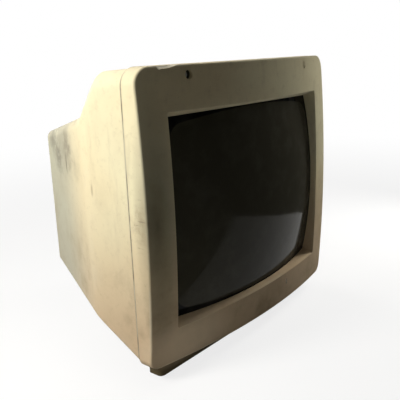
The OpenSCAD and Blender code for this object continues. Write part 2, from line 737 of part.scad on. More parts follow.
module power_led() color("limegreen") placed() {
  block([led_x - 1.4, -18.4, led_z - 3.3], [2.8, 8.4, 6.6]);
  // the leads drop in front of the tube's glass and run back to the board
  for (s = [-1, 1]) translate([led_x + s * 0.9 - 0.3, 0, 0]) {
    block([0, -10.5, led_z - 0.3], [0.6, 2, 0.6]);
    block([0, -9.1, 18], [0.6, 0.6, led_z - 17.7]);
    block([0, -9.1, 18], [0.6, 9.2, 0.6]);
    block([0, -0.5, control_z + board_t + 0.05], [0.6, 0.6, 18.6 - control_z - board_t - 0.05]);
  }
}

module mains_inlet() color([0.1, 0.1, 0.1]) placed() difference() {
  union() {
    block([inlet_x - 25, base_back + 0.05, socket_z - 11.2], [50, 3, 22.4]);
    block([inlet_x - 13.5, 183, socket_z - 9.8], [27, 24, 19.6]);
  }
  block([inlet_x - 12.1, 192.5, socket_z - 8.2], [24.2, 20, 16.4]);
  for (sx = [-1, 1]) rod(inlet_x + sx * 20, base_back - 1, socket_z, 1.65, 6);
}

module inlet_pins() color("silver") placed() {
  for (sx = [-1, 1]) block([inlet_x + sx * 7 - 1, 192.55, socket_z - 4], [2, 12, 4]);
  block([inlet_x - 1, 192.55, socket_z], [2, 12, 4]);
}

// Two screws through the inlet's flange and the rear wall, with nuts inside
module inlet_screws() color("silver") placed() for (sx = [-1, 1])
  translate([inlet_x + sx * 20, base_back + 3.1, socket_z]) rotate([90, 0, 0]) pan_screw(9, 3, 1.5);

module inlet_nuts() color("silver") placed() for (sx = [-1, 1])
  translate([inlet_x + sx * 20, base_back - wall - 2.45, socket_z]) to_back() difference() {
    cylinder(r = 3.1, h = 2.4, $fn = 6);
    translate([0, 0, -1]) cylinder(r = 1.55, h = 5);
  }

// The D-shaped shell of a 15-way socket
function d_shape(grow) = [[-8.3 - grow, 4 + grow], [-6.9 - grow, -4 - grow],
  [6.9 + grow, -4 - grow], [8.3 + grow, 4 + grow]];

module video_socket() color("silver") placed() translate([video_x, 0, socket_z]) difference() {
  union() {
    block([-15.4, base_back + 0.05, -6.2], [30.8, 1, 12.4]);
    slab(d_shape(0.7), base_back - 3, base_back + 6.5);
  }
  slab(d_shape(0), base_back - 4, base_back + 7.5);
  for (sx = [-1, 1]) rod(sx * jack_half, base_back - 2, 0, 1.6, 6);
}

// The plastic block inside the shell, with fifteen contact holes
module video_socket_insert() color([0.1, 0.1, 0.12]) placed()
  translate([video_x, 0, socket_z]) difference() {
    slab(d_shape(-0.05), 188, base_back + 6.1);
    for (row = [-1:1], i = [0:4])
      rod((i - 2) * 2.3 + row * 0.6, base_back - 1, row * 2.2, 0.55, 9);
  }

module socket_nuts() color("silver") placed() for (sx = [-1, 1])
  translate([video_x + sx * jack_half, base_back + 1.15, socket_z]) to_back() difference() {
    cylinder(r = 2.7, h = 4.8, $fn = 6);
    translate([0, 0, -1]) cylinder(r = 1.3, h = 8);
  }

module rear_adjusters() color("royalblue") placed() for (x = knob_x) difference() {
  block([x - 5.5, 190, board_top + 0.05], [11, 11.2, socket_z + 5.5 - board_top]);
  rod(x, 191.5, socket_z, spindle_r + run_gap, 12);
}

// A small knob with a screwdriver slot and its own spindle, turning about Y
module rear_knob(x) difference() {
  union() {
    rod(x, base_back + 0.8, socket_z, knob_r, 7);
    rod(x, 193, socket_z, spindle_r, 13);
  }
  block([x - 0.6, base_back + 6.3, socket_z - knob_r - 1], [1.2, 3, 2 * knob_r + 2]);
  for (i = [0:11]) translate([x, 0, socket_z]) rotate([0, i * 30, 0])
    block([knob_r - 0.35, base_back + 2, -0.35], [1, 7, 0.7]);
}

module v_size_knob() color("ivory") placed() rear_knob(knob_x[0]);

module h_position_knob() color("ivory") placed() rear_knob(knob_x[1]);

module v_position_knob() color("ivory") placed() rear_knob(knob_x[2]);

// ---------------------------------------------------------------- assembly

front_bezel();
rear_cover();
base_tub();
rubber_feet();
screw_hole_plug();
bezel_screws();
cover_screws();
base_screws();
crt_faceplate();
crt_funnel();
shadow_mask();
tension_band();
crt_screws();
crt_screw_washers();
electron_gun();
tube_base_pins();
deflection_coils();
yoke_core();
yoke_clamp();
convergence_rings();
degaussing_coil();
neck_board();
crt_socket();
video_amplifiers();
anode_cap();
anode_lead();
main_board();
board_screws();
flyback_transformer();
power_transformer();
mains_capacitor();
small_capacitors();
heatsink();
power_transistors();
mains_choke();
mains_fuse();
control_board();
front_adjusters();
brightness_wheel();
contrast_wheel();
power_switch();
power_button();
power_led();
mains_inlet();
inlet_pins();
inlet_screws();
inlet_nuts();
video_socket();
video_socket_insert();
socket_nuts();
rear_adjusters();
v_size_knob();
h_position_knob();
v_position_knob();
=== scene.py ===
# %% [markdown]
# # A desktop computer monitor with a picture tube
#
# This script dresses the solid model of a 14 inch monitor so that it looks like the photographed
# one. The solid model, called the frame here, gives every part its place. Where a solid already
# has the right shape, it only gets a finish. Where the real moulding has soft edges, a wide curved
# front or rows of slots, a finer mesh is made on the same sizes and stands in for the solid.
#
# All lengths are in metres, with Z up and the screen facing -Y.

# %% Load the frame
import json
import math
import random

import bmesh
import bpy
from mathutils import Matrix, Vector
from mathutils.bvhtree import BVHTree

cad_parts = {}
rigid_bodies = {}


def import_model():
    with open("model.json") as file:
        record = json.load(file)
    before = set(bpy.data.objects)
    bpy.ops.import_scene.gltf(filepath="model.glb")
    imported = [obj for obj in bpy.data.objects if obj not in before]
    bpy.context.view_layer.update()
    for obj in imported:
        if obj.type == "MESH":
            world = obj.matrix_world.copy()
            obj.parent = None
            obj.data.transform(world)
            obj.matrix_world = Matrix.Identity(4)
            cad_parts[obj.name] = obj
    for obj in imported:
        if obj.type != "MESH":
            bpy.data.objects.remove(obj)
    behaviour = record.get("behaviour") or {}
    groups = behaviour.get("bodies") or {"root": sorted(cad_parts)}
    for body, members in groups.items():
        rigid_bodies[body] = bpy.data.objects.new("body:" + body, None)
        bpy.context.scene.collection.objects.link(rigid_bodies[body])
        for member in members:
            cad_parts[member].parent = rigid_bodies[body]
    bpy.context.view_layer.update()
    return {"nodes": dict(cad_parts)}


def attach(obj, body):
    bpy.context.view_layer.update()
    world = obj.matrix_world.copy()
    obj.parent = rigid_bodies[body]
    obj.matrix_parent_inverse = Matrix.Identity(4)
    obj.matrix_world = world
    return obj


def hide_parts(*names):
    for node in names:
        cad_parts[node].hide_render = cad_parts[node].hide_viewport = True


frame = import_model()
nodes = frame["nodes"]

# %% [markdown]
# ## Sizes of the case
#
# A moulded case is drawn from its own front face: x to the right, y to the back and z up from the
# bezel's lower edge, in millimetres. `case()` turns such a place into the frame's metres, so each
# number below can be compared with a ruler on the real thing.

# %% Case sizes
MM, MIDDLE_Y, FLOOR_Z = 1000, 145, -18
HALF_W, CASE_H, CORNER_TOP, CORNER_LOW = 180.0, 312.5, 18, 12
MID_Z = CASE_H / 2
CROWN_SIDE, CROWN_RISE = 18.2, 7.0
CROWN_Y = CROWN_SIDE + CROWN_RISE
CROWN_RX = (HALF_W ** 2 + CROWN_SIDE ** 2) / (2 * CROWN_SIDE)
CROWN_RZ = (MID_Z ** 2 + CROWN_RISE ** 2) / (2 * CROWN_RISE)
SEAM_Y, COVER_Y, SEAM_GAP = 17.0, 17.3, 0.45
SEAM_LIP = ((3, 0), (0.6, 0), (0.2, 0.2), (0, 0.7))
VIEW_W, VIEW_H, VIEW_LOW, VIEW_CORNER, DRAFT = 290.0, 228.0, 39.5, 2.2, 0.42
TUBE_Z, FACE_Y, FACE_R = VIEW_LOW + VIEW_H / 2, -25.0, 540.0
FACE_HALF, FACE_HH, FACE_CORNER, FACE_BACK, FACE_THICK = 161.0, 129.0, 45.0, 33, 12
BASE_Z, WALL = -13.0, 3.0


def case(x, y, z):
    """A place given in the case's own millimetres, in the frame's metres."""
    return Vector((x / MM, (y - MIDDLE_Y) / MM, (z - FLOOR_Z) / MM))


def in_case(place):
    """A place of the frame in the case's own millimetres."""
    return place.x * MM, place.y * MM + MIDDLE_Y, place.z * MM + FLOOR_Z


def crown(x, z):
    """Depth of the bezel's bulged front at a place seen from the front."""
    r = CROWN_RX - CROWN_RZ + math.sqrt(CROWN_RZ ** 2 - (z - MID_Z) ** 2)
    return CROWN_RX - CROWN_Y - math.sqrt(r * r - x * x)


def glass(x, z):
    """Depth of the picture tube's face at a place seen from the front."""
    return FACE_Y + FACE_R - math.sqrt(FACE_R ** 2 - x * x - (z - TUBE_Z) ** 2)


def behind(surface, offset):
    """The surface that lies an offset behind another one."""
    return lambda x, z: surface(x, z) + offset


def along(y, start, stop, first, last):
    """A size that changes evenly from the first to the last between two depths."""
    return first + (last - first) * (y - start) / (stop - start)


print("bulge of the front:", round(crown(HALF_W, 0) - crown(0, MID_Z), 1), "mm")

# %% [markdown]
# ## Camera
#
# The photograph was taken from the monitor's left, a little above it. The camera's place and aim
# were fitted to straight edges and corners that are easy to read in the picture. Those readings
# are kept below as image points, in the 400 by 400 frame, so that the last cells can say how far
# the finished model shows from each of them.

# %% Image points and the camera
PHOTO = 400
POINTS = {
    "left": (47.0, None), "right": (324.2, None), "top": (None, 55.6), "bottom": (None, 376.6),
    "front_corner_top": (136.8, 72.9), "front_corner_low": (153.2, 366.8),
    "opening_top_left": (168.0, 115.0), "opening_low_left": (179.3, 328.0),
    "opening_top_right": (315.6, 91.5), "opening_low_right": (312.3, 253.0),
    "seam_high": (119.4, 90.0), "seam_low": (134.0, 282.0),
    "screw_recess": (189.0, 74.5), "power_light": (286.5, 281.0), "rear_edge_top": (48.0, 133.0),
    "lip_end": (158.5, 376.6), "edge_chip": (164.0, 67.0), "side_scratch": (140.5, 222.0),
    "rear_smudge": (68.0, 148.0), "side_streak": (91.8, 190.5),
}
CAMERA_PLACE = Vector((-0.5666, -0.5445, 0.3432))
CAMERA_LENS, SENSOR = 52.97, 36.0
TURN, RISE, ROLL = math.radians(-50.05), math.radians(14.27), math.radians(-2.228)
SHIFT_X = SHIFT_Y = 0.0

back = Vector((math.sin(TURN) * math.cos(RISE), -math.cos(TURN) * math.cos(RISE), math.sin(RISE)))
level = Vector((0, 0, 1)).cross(back).normalized()
above = back.cross(level)
CAM_X = math.cos(ROLL) * level + math.sin(ROLL) * above
CAM_Y = math.cos(ROLL) * above - math.sin(ROLL) * level

lens_data = bpy.data.cameras.new("camera")
lens_data.lens, lens_data.sensor_width, lens_data.sensor_fit = CAMERA_LENS, SENSOR, "AUTO"
lens_data.shift_x, lens_data.shift_y = SHIFT_X, SHIFT_Y
camera = bpy.data.objects.new("camera", lens_data)
bpy.context.scene.collection.objects.link(camera)
camera_axes = Matrix((CAM_X, CAM_Y, back)).transposed().to_4x4()
camera.matrix_world = Matrix.Translation(CAMERA_PLACE) @ camera_axes
bpy.context.scene.camera = camera


def seen(place):
    """Where a place shows in the photograph's frame, in pixels."""
    d = place - CAMERA_PLACE
    scale = PHOTO * CAMERA_LENS / SENSOR / -d.dot(back)
    return (PHOTO / 2 - SHIFT_X * PHOTO + d.dot(CAM_X) * scale,
            PHOTO / 2 + SHIFT_Y * PHOTO - d.dot(CAM_Y) * scale)


low_corner = case(-HALF_W, crown(-HALF_W, CORNER_LOW), CORNER_LOW)
print("front corner shows at", [round(v, 1) for v in seen(low_corner)])

# %% [markdown]
# ## Outlines
#
# Bezel, cover and tube all have the same kind of cross-section: a rectangle with rounded corners.
# If every outline is drawn with the same number of points, starting at the same corner, two of
# them can be joined by plain four-sided faces, and a whole moulding becomes a stack of rings. That
# gives even faces, soft edges wherever a few rings are close together, and no holes.

# %% Outlines
TURN_STEPS, WIDE_STEPS, HIGH_STEPS = 7, 22, 20
QUARTER, FINE_QUARTER = (0, 30, 60, 90), (0, 22.5, 45, 67.5, 90)


def arc(angles):
    """The sine and cosine of each angle, to round an edge ring by ring."""
    return [(math.sin(math.radians(a)), math.cos(math.radians(a))) for a in angles]


def toward(a, b, share):
    """A place part of the way from one to another."""
    return tuple(p + (q - p) * share for p, q in zip(a, b))


def outline(half, low, top, r_top, r_low):
    """A rounded rectangle seen from the front, as (x, z) points from the upper right on."""
    corners = [(half - r_top, top - r_top, r_top, WIDE_STEPS),
               (r_top - half, top - r_top, r_top, HIGH_STEPS),
               (r_low - half, low + r_low, r_low, WIDE_STEPS),
               (half - r_low, low + r_low, r_low, HIGH_STEPS)]

    def on_corner(i, degrees):
        x, z, r, _ = corners[i % 4]
        a = math.radians(90 * (i % 4) + degrees)
        return x + r * math.cos(a), z + r * math.sin(a)

    points = []
    for i, (*_, steps) in enumerate(corners):
        points += [on_corner(i, 90 * k / TURN_STEPS) for k in range(TURN_STEPS + 1)]
        here, end = points[-1], on_corner(i + 1, 0)
        points += [toward(here, end, k / steps) for k in range(1, steps)]
    return points


def at_depth(points, depth):
    """An outline as a ring, at one depth or at a depth worked out from each place."""
    return [(x, depth(x, z) if callable(depth) else depth, z) for x, z in points]


def between(a, b, share):
    """An outline part of the way from one outline to another."""
    return [toward(p, q, share) for p, q in zip(a, b)]


print("points in each outline:", len(outline(10, 0, 10, 1, 1)))

# %% [markdown]
# ## From outlines to meshes
#
# A few helpers turn rings into a mesh, make the plain cutters, and finish a mesh. A cutter is
# taken out with an exact boolean, and the soft shading is set by weighted normals, so that wide
# faces stay flat and small roundings catch the light. Each helper leaves a closed mesh whose faces
# point outwards.

# %% Skins and cutters
MERGE_WITHIN, FLAT_WITHIN, CRISP_FROM = 1e-6, 1e-7, math.radians(32)


def skin(name, rings, closed=False, hubs=None):
    """A mesh over rings of places in the case's millimetres. A closed skin joins its last ring to
    its first; an open one gets a fan at each end, round its middle or round a given hub."""
    n = len(rings[0])
    mesh = bpy.data.meshes.new(name)
    verts = [case(*p) for ring in rings for p in ring]
    faces = []
    for k in range(len(rings) if closed else len(rings) - 1):
        a, b = k * n, ((k + 1) % len(rings)) * n
        faces += [(a + i, a + (i + 1) % n, b + (i + 1) % n, b + i) for i in range(n)]
    if not closed:
        for end, ring in ((0, rings[0]), (1, rings[-1])):
            middle = hubs[end] if hubs else [sum(axis) / n for axis in zip(*ring)]
            verts.append(case(*middle))
            start, hub = end * (len(rings) - 1) * n, len(verts) - 1
            faces += [(start + i, start + (i + 1) % n, hub) for i in range(n)]
    mesh.from_pydata(verts, [], faces)
    return tidy(mesh)


def tidy(mesh):
    """Merges doubles and turns every face outwards."""
    work = bmesh.new()
    work.from_mesh(mesh)
    bmesh.ops.remove_doubles(work, verts=work.verts, dist=MERGE_WITHIN)
    bmesh.ops.dissolve_degenerate(work, edges=work.edges, dist=FLAT_WITHIN)
    bmesh.ops.recalc_face_normals(work, faces=work.faces)
    work.to_mesh(mesh)
    work.free()
    return mesh


def thing(name, mesh):
    """An object that holds a mesh and stands at the origin."""
    made = bpy.data.objects.new(name, mesh)
    bpy.context.scene.collection.objects.link(made)
    return made


def settled(obj):
    """The object with its modifiers worked into its mesh."""
    graph = bpy.context.evaluated_depsgraph_get()
    mesh = bpy.data.meshes.new_from_object(obj.evaluated_get(graph))
    obj.modifiers.clear()
    old, obj.data = obj.data, mesh
    bpy.data.meshes.remove(old)
    obj.data.name = obj.name
    return obj


def smooth(obj):
    """Soft shading that stays crisp across sharp edges and flat on wide faces."""
    obj.data.shade_smooth()
    obj.data.set_sharp_from_angle(angle=CRISP_FROM)
    level_out = obj.modifiers.new("even_shading", "WEIGHTED_NORMAL")
    level_out.keep_sharp = True
    return settled(obj)


def joined(obj, *others):
    """The object with the other meshes added to it."""
    work = bmesh.new()
    work.from_mesh(obj.data)
    for mesh in others:
        work.from_mesh(mesh)
        bpy.data.meshes.remove(mesh)
    work.to_mesh(obj.data)
    work.free()
    return obj


def block(low, size, round_by=0.0, axis=None):
    """A box from its lowest corner and its size in case millimetres, with its edges rounded: all
    of them, or only those along an axis."""
    work = bmesh.new()
    bmesh.ops.create_cube(work, size=1)
    for v in work.verts:
        v.co = case(*[low[i] + size[i] * (v.co[i] + 0.5) for i in range(3)])
    if round_by:
        edges = [e for e in work.edges
                 if axis is None or abs((e.verts[0].co - e.verts[1].co)[axis]) > FLAT_WITHIN]
        bmesh.ops.bevel(work, geom=edges, offset=round_by / MM, segments=4, profile=0.5,
                        affect="EDGES")
    mesh = bpy.data.meshes.new("block")
    work.to_mesh(mesh)
    work.free()
    return tidy(mesh)


def lathe(profile, place, axis="Y", steps=40):
    """A turned ring, or a solid where the profile touches the axis, from (radius, along)."""
    rows = []
    for k in range(steps):
        a = 2 * math.pi * k / steps
        c, s = math.cos(a), math.sin(a)
        for r, t in profile:
            local = {"Y": (r * c, t, r * s), "Z": (r * c, r * s, t), "X": (t, r * c, r * s)}[axis]
            rows.append(case(*[place[i] + local[i] for i in range(3)]))
    m = len(profile)
    faces = []
    for k in range(steps):
        here, ahead = k * m, (k + 1) % steps * m
        faces += [(here + i, here + (i + 1) % m, ahead + (i + 1) % m, ahead + i) for i in range(m)]
    mesh = bpy.data.meshes.new("lathe")
    mesh.from_pydata(rows, [], faces)
    return tidy(mesh)


def rod(radius, start, stop, place, axis="Y", steps=40):
    """A round rod between two distances along its axis."""
    return lathe([(0, start), (radius, start), (radius, stop), (0, stop)], place, axis, steps)


def cut(obj, *cutters):
    """Takes the cutters' shapes out of the object."""
    for mesh in cutters:
        tool = thing("cutter", mesh)
        taken = obj.modifiers.new("cut", "BOOLEAN")
        taken.operation, taken.solver, taken.object = "DIFFERENCE", "EXACT", tool
        settled(obj)
        bpy.data.objects.remove(tool)
        bpy.data.meshes.remove(mesh)
    return obj


print("soft shading stays crisp from", round(math.degrees(CRISP_FROM)), "degrees")

# %% [markdown]
# ## Front bezel
#
# The bezel is one moulding: thin side walls, a front that bulges both ways, and walls that slant
# in to the picture tube. A box with a hole would miss the bulge, so the cross-section is drawn
# from the back of the side wall, round the front edge, across the bulge, over the opening's edge
# and down to the glass, and repeated at every point of the outline. The small holes and the chip
# in the top edge are then cut with plain cutters. Each pair in SEAM_LIP is an inset and a distance
# from the seam, and the cover's front edge uses the same pairs.

# %% Rings of the bezel
EDGE_R, OPENING_SOFT, FRONT_WALL, GLASS_GAP, SETTLE_ROUNDS = 1.8, 0.6, 3.6, 0.6, 12


def case_edge(inset):
    return outline(HALF_W - inset, inset, CASE_H - inset, CORNER_TOP - inset, CORNER_LOW - inset)


def opening_edge(grow):
    return outline(VIEW_W / 2 + grow, VIEW_LOW - grow, VIEW_LOW + VIEW_H + grow,
                   VIEW_CORNER + grow, VIEW_CORNER + grow)


def slanted(place, share):
    """A place on the opening's wall, a share of the way from the front surface to the glass. The
    last one is moved along the wall until it stands just off the glass."""
    x, z = place
    front, deep = crown(x, z), glass(x, z) - crown(x, z) + 1
    f = share
    for _ in range(SETTLE_ROUNDS if share == 1 else 1):
        draw_x, draw_z = (1 - 2 * DRAFT * deep * f / size for size in (VIEW_W, VIEW_H))
        px, pz, py = x * draw_x, TUBE_Z + (z - TUBE_Z) * draw_z, front + deep * f
        if share == 1:
            f += (glass(px, pz) - GLASS_GAP - py) / deep
    return px, py, pz


def bezel_rings():
    """From the side wall's back over the front to the glass, and back along the inside."""
    rings = [at_depth(case_edge(inset), SEAM_Y - ahead)
             for inset, ahead in (*SEAM_LIP, (0, 1.2))]
    rings.append(at_depth(case_edge(0), behind(crown, EDGE_R + 0.5)))
    rings += [at_depth(case_edge(EDGE_R * (1 - c)), behind(crown, EDGE_R * (1 - s)))
              for s, c in arc(QUARTER)]
    rim, hole = case_edge(EDGE_R + 0.4), opening_edge(1.0)
    rings += [at_depth(between(rim, hole, k / 8), crown) for k in range(9)]
    rings += [at_depth(opening_edge(OPENING_SOFT * (1 - s)),
                       behind(crown, OPENING_SOFT * (1 - c))) for s, c in arc(QUARTER)]
    rings += [[slanted(p, share) for p in opening_edge(0)] for share in (0.12, 0.4, 0.7, 1)]
    rings.append([(x * 1.018, y + 0.2, TUBE_Z + (z - TUBE_Z) * 1.02) for x, y, z in rings[-1]])
    rings += [at_depth(edge, behind(crown, FRONT_WALL))
              for edge in (opening_edge(5), case_edge(3.4))]
    return rings


print("rings of the bezel:", len(bezel_rings()))

# %% The chip
CHIP_FROM, CHIP_TO, CHIP_STEPS, CHIP_SEED = -160.0, -124.0, 40, 7
CHIP_BITES = [(-150.0, 4.5, 4.5), (-145.0, 3.6, 5.0), (-140.0, 3.3, 5.0), (-135.0, 2.6, 5.0),
              (-130.0, 1.4, 5.0)]


def chip_mesh():
    """What has broken off the top edge: a shallow wedge with a torn lower line. Each bite is a
    place along the edge, a depth and a reach."""
    rough, rings = random.Random(CHIP_SEED), []
    for k in range(CHIP_STEPS + 1):
        x = CHIP_FROM + (CHIP_TO - CHIP_FROM) * k / CHIP_STEPS
        deep = sum(d * max(0.0, 1 - abs(x - at) / reach) for at, d, reach in CHIP_BITES)
        deep += rough.uniform(-0.25, 0.25) if deep > 0.4 else 0
        low, front = CASE_H + 0.3 - deep, crown(x, CASE_H)
        slope = [(front - 0.5, low), (front + 2.2, low + deep * 0.25 + rough.uniform(0, 0.3)),
                 (front + 5, CASE_H + 0.6)]
        rings.append([(x, -30, low)] + [(x, y, z) for y, z in slope] + [(x, -30, CASE_H + 4)])
    return skin("chip", rings)


print("the chip is", CHIP_TO - CHIP_FROM, "mm long")

# %% Front bezel
SCREW_X, SCREW_Z, RECESS_R = 113.3, 302.3, 4.75
SCREW_WELL = [(RECESS_R, -10.6), (RECESS_R, -4), (2.2, -4), (2.2, -1.5), (6.5, -1.5), (6.5, -10.6)]
LIGHT_X, LIGHT_Z, LIGHT_W, LIGHT_H = 59.4, 26.3, 3.2, 7.2
WHEELS, WHEEL_SLOT = (80.0, 108.0), 6.4
BUTTON_Y, BUTTON_Z, BUTTON_SIZE, BUTTON_HOLE = 7.0, 14.5, 9.0, 9.6
RECESSES = [(s * SCREW_X, 0, SCREW_Z) for s in (-1, 1)]

bezel = thing("bezel", skin("bezel", bezel_rings(), closed=True))
cut(bezel,
    *[rod(RECESS_R, -40, -6, place) for place in RECESSES],
    block((LIGHT_X - LIGHT_W / 2, -32, LIGHT_Z - LIGHT_H / 2), (LIGHT_W, 22, LIGHT_H), 0.5, 1),
    *[block((x - WHEEL_SLOT / 2, -6.5, -2), (WHEEL_SLOT, 21, 6), 0.8, 2) for x in WHEELS],
    block((174, BUTTON_Y - BUTTON_HOLE / 2, BUTTON_Z - BUTTON_HOLE / 2),
          (9, BUTTON_HOLE, BUTTON_HOLE), 0.6, 0),
    chip_mesh())
joined(bezel, *[lathe(SCREW_WELL, place) for place in RECESSES])
smooth(bezel)
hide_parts("front_bezel")
print("bezel faces:", len(bezel.data.polygons))

# %% [markdown]
# ## Rear cover
#
# Behind the bezel the case keeps its full height for a hand's width, then its roof drops, its
# sides turn in and its floor slopes up, down to a flat rear face with a hump for the tube's neck.
# The bends are soft on the real moulding. Here the plain sizes are averaged over a few millimetres
# of depth, which rounds every bend at once, and the rings stand close together there.

# %% Cross-sections of the cover
ROOF_END, BEND_Y, DROP_Y, SLOPE_Y, POD_Y, BACK_Y = 58.0, 80.0, 89.5, 160.0, 215.0, 315.0
COVER_HALF, POD_HALF = 179.0, 124.4
COVER_LOW, BEND_LOW, POD_LOW = 2.5, 35.6, 62.8
SOFT_BEND, AVERAGED = 2.4, 4


def under(y):
    """Height of the cover's underside at a depth."""
    if y < BEND_Y:
        return along(y, COVER_Y, BEND_Y, COVER_LOW, BEND_LOW)
    return along(y, BEND_Y, POD_Y, BEND_LOW, POD_LOW)


def flank(y):
    """Half the cover's width at a depth."""
    return COVER_HALF if y < BEND_Y else along(y, BEND_Y, POD_Y, COVER_HALF, POD_HALF)


BODY = [(y, flank(y), under(y), top, r_top, r_low) for y, top, r_top, r_low in (
    (COVER_Y, 311.0, 17, 10), (ROOF_END, 308.6, 17, 10), (BEND_Y, 277.4, 15, 10),
    (DROP_Y, 264.0, 14, 10), (POD_Y, 234.8, 9, 9))]
HUMP = [(POD_Y, 96.0, 82.0, 224.0, 12, 12), (BACK_Y, 48.0, 100.0, 200.0, 12, 12)]


def plain_section(path, y):
    """Half width, underside, top and the two corner radii of a path at a depth."""
    y = min(max(y, path[0][0]), path[-1][0])
    for a, b in zip(path, path[1:]):
        if y <= b[0]:
            return toward(a[1:], b[1:], (y - a[0]) / (b[0] - a[0]))


def section(path, y):
    """The five sizes at a depth, averaged a little to round the bends."""
    soft = min(SOFT_BEND, y - path[0][0], path[-1][0] - y)
    samples = [plain_section(path, y + soft * k / AVERAGED) for k in range(-AVERAGED, AVERAGED + 1)]
    return [sum(column) / len(samples) for column in zip(*samples)]


print("the cover's roof comes down to", round(section(BODY, POD_Y)[2], 1), "mm")

# %% Rings of the cover
COARSE, FINE, NEAR_BEND = 11, 0.9, 3.5
POD_SOFT, BACK_SOFT = 2, 2.5


def slice_ring(path, y, inset=0.0, depth=None):
    """The ring of a cross-section, drawn in by an inset and set at its own or another depth."""
    half, low, top, r_top, r_low = section(path, y)
    edge = outline(half - inset, low + inset, top - inset, max(r_top - inset, 1),
                   max(r_low - inset, 1))
    return at_depth(edge, y if depth is None else depth)


def steps_through(bends, coarse, fine):
    """Depths from the first to the last, closer together near each bend."""
    depths, y = [], bends[0]
    while y < bends[-1]:
        depths.append(y)
        y += fine if min(abs(y + fine / 2 - b) for b in bends) < NEAR_BEND else coarse
    return depths + [bends[-1]]


def rounded_end(path, y, r):
    """Rings that round a path's rear edge by a radius."""
    return [slice_ring(path, y - r, r * (1 - c), y - r + r * s) for s, c in arc(FINE_QUARTER)]


def cover_rings():
    """The outside from the seam to the middle of the hump's rear, and the inside back again."""
    front = COVER_Y + SEAM_GAP
    outer = [slice_ring(BODY, COVER_Y, inset, front + back_by) for inset, back_by in SEAM_LIP]
    bends = [front + 1.2, ROOF_END, BEND_Y, DROP_Y, SLOPE_Y, POD_Y - 2.6]
    outer += [slice_ring(BODY, y) for y in steps_through(bends, COARSE, FINE)]
    outer += rounded_end(BODY, POD_Y, POD_SOFT)
    outer += [slice_ring(*ring) for ring in (
        (BODY, POD_Y - POD_SOFT, 2.6, POD_Y), (HUMP, POD_Y, -2.2, POD_Y),
        (HUMP, POD_Y, -1.6, POD_Y), (HUMP, POD_Y, -0.5, POD_Y + 0.4))]
    outer += [slice_ring(HUMP, y) for y in (POD_Y + 1.5, POD_Y + 3, POD_Y + 30, POD_Y + 65,
                                            BACK_Y - 6, BACK_Y - 3.2)]
    outer += rounded_end(HUMP, BACK_Y, BACK_SOFT)
    outer += [slice_ring(HUMP, BACK_Y - BACK_SOFT, inset, BACK_Y) for inset in (3.2, 30)]
    inner = [(HUMP, BACK_Y - 3, 30, BACK_Y - WALL), (HUMP, BACK_Y - 3, 3.4, BACK_Y - WALL),
             (HUMP, BACK_Y - 6, WALL), (HUMP, POD_Y, WALL), (HUMP, POD_Y, WALL, POD_Y - WALL),
             (BODY, POD_Y - 3, 3.5, POD_Y - WALL), (BODY, POD_Y - 4, WALL, POD_Y - 5)]
    inner += [(BODY, y, WALL) for y in (SLOPE_Y, DROP_Y + 1, DROP_Y - 3, BEND_Y, 60, 56, 30)]
    return outer, [slice_ring(*ring) for ring in inner]


outer, inner = cover_rings()
cover = thing("cover", skin("cover", outer[::-1] + inner[::-1]))
print("cover rings:", len(outer), "outside,", len(inner), "inside")

# %% [markdown]
# ## Ventilation slots
#
# The tube and its coils get warm, so the roof, the hump and the floor carry rows of slots. They
# are all the same shape on a grid, which is work for Geometry Nodes: one tree draws a slot with
# round ends, places it on a grid, and takes the whole grid out of the moulding. Its sizes are
# inputs, so the same tree serves each row.

# %% Building and running a tree
case_finish = bpy.data.materials.new("case_plastic")
control_finish = bpy.data.materials.new("control_plastic")


def new_tree(name, inputs):
    """An empty Geometry Nodes tree with the named inputs, and helpers to add nodes and end it."""
    tree = bpy.data.node_groups.new(name, "GeometryNodeTree")
    tree.interface.new_socket("Geometry", in_out="INPUT", socket_type="NodeSocketGeometry")
    for label, kind in inputs.items():
        tree.interface.new_socket(label, in_out="INPUT", socket_type="NodeSocket" + kind)
    tree.interface.new_socket("Geometry", in_out="OUTPUT", socket_type="NodeSocketGeometry")
    entry, leave = tree.nodes.new("NodeGroupInput"), tree.nodes.new("NodeGroupOutput")

    def lead(value, socket):
        if isinstance(value, bpy.types.NodeSocket):
            tree.links.new(value, socket)
        else:
            socket.default_value = value

    def add(kind, settings=None, second=None, **sockets):
        """A node with its settings and sockets; second is for an input that shares its name."""
        node = tree.nodes.new(kind)
        for key, value in (settings or {}).items():
            setattr(node, key, value)
        for key, value in sockets.items():
            lead(value, node.inputs[key.replace("_", " ")])
        if second is not None:
            lead(second, node.inputs[1])
        return node.outputs[0]

    def end(geometry, finish):
        real = add("GeometryNodeRealizeInstances", Geometry=geometry)
        dressed = add("GeometryNodeSetMaterial", Geometry=real, Material=finish)
        tree.links.new(dressed, leave.inputs[0])
    return tree, entry.outputs, add, end


def run_tree(obj, tree, **values):
    """Runs a tree on an object with its inputs set, and keeps the result as a plain mesh."""
    step = obj.modifiers.new(tree.name, "NODES")
    step.node_group = tree
    sockets = {s.name: s.identifier for s in tree.interface.items_tree if s.in_out == "INPUT"}
    for label, value in values.items():
        step[sockets[label.replace("_", " ")]] = value
    return settled(obj)


print("finishes that the trees set:", case_finish.name, control_finish.name)

# %% Slot tree
SLOT_W, SLOT_ROUND = 3.0, 0.499

slots, given, add, end = new_tree("slots", {
    "Columns": "Int", "Rows": "Int", "Pitch": "Float", "Row Pitch": "Float", "Width": "Float",
    "Length": "Float", "Depth": "Float", "Place": "Vector", "Turn": "Rotation",
    "Finish": "Material"})


def spread(count, pitch):
    """How far a row reaches from its first slot to its last."""
    less = add("ShaderNodeMath", {"operation": "SUBTRACT"}, second=1, Value=count)
    return add("ShaderNodeMath", {"operation": "MULTIPLY"}, second=pitch, Value=less)


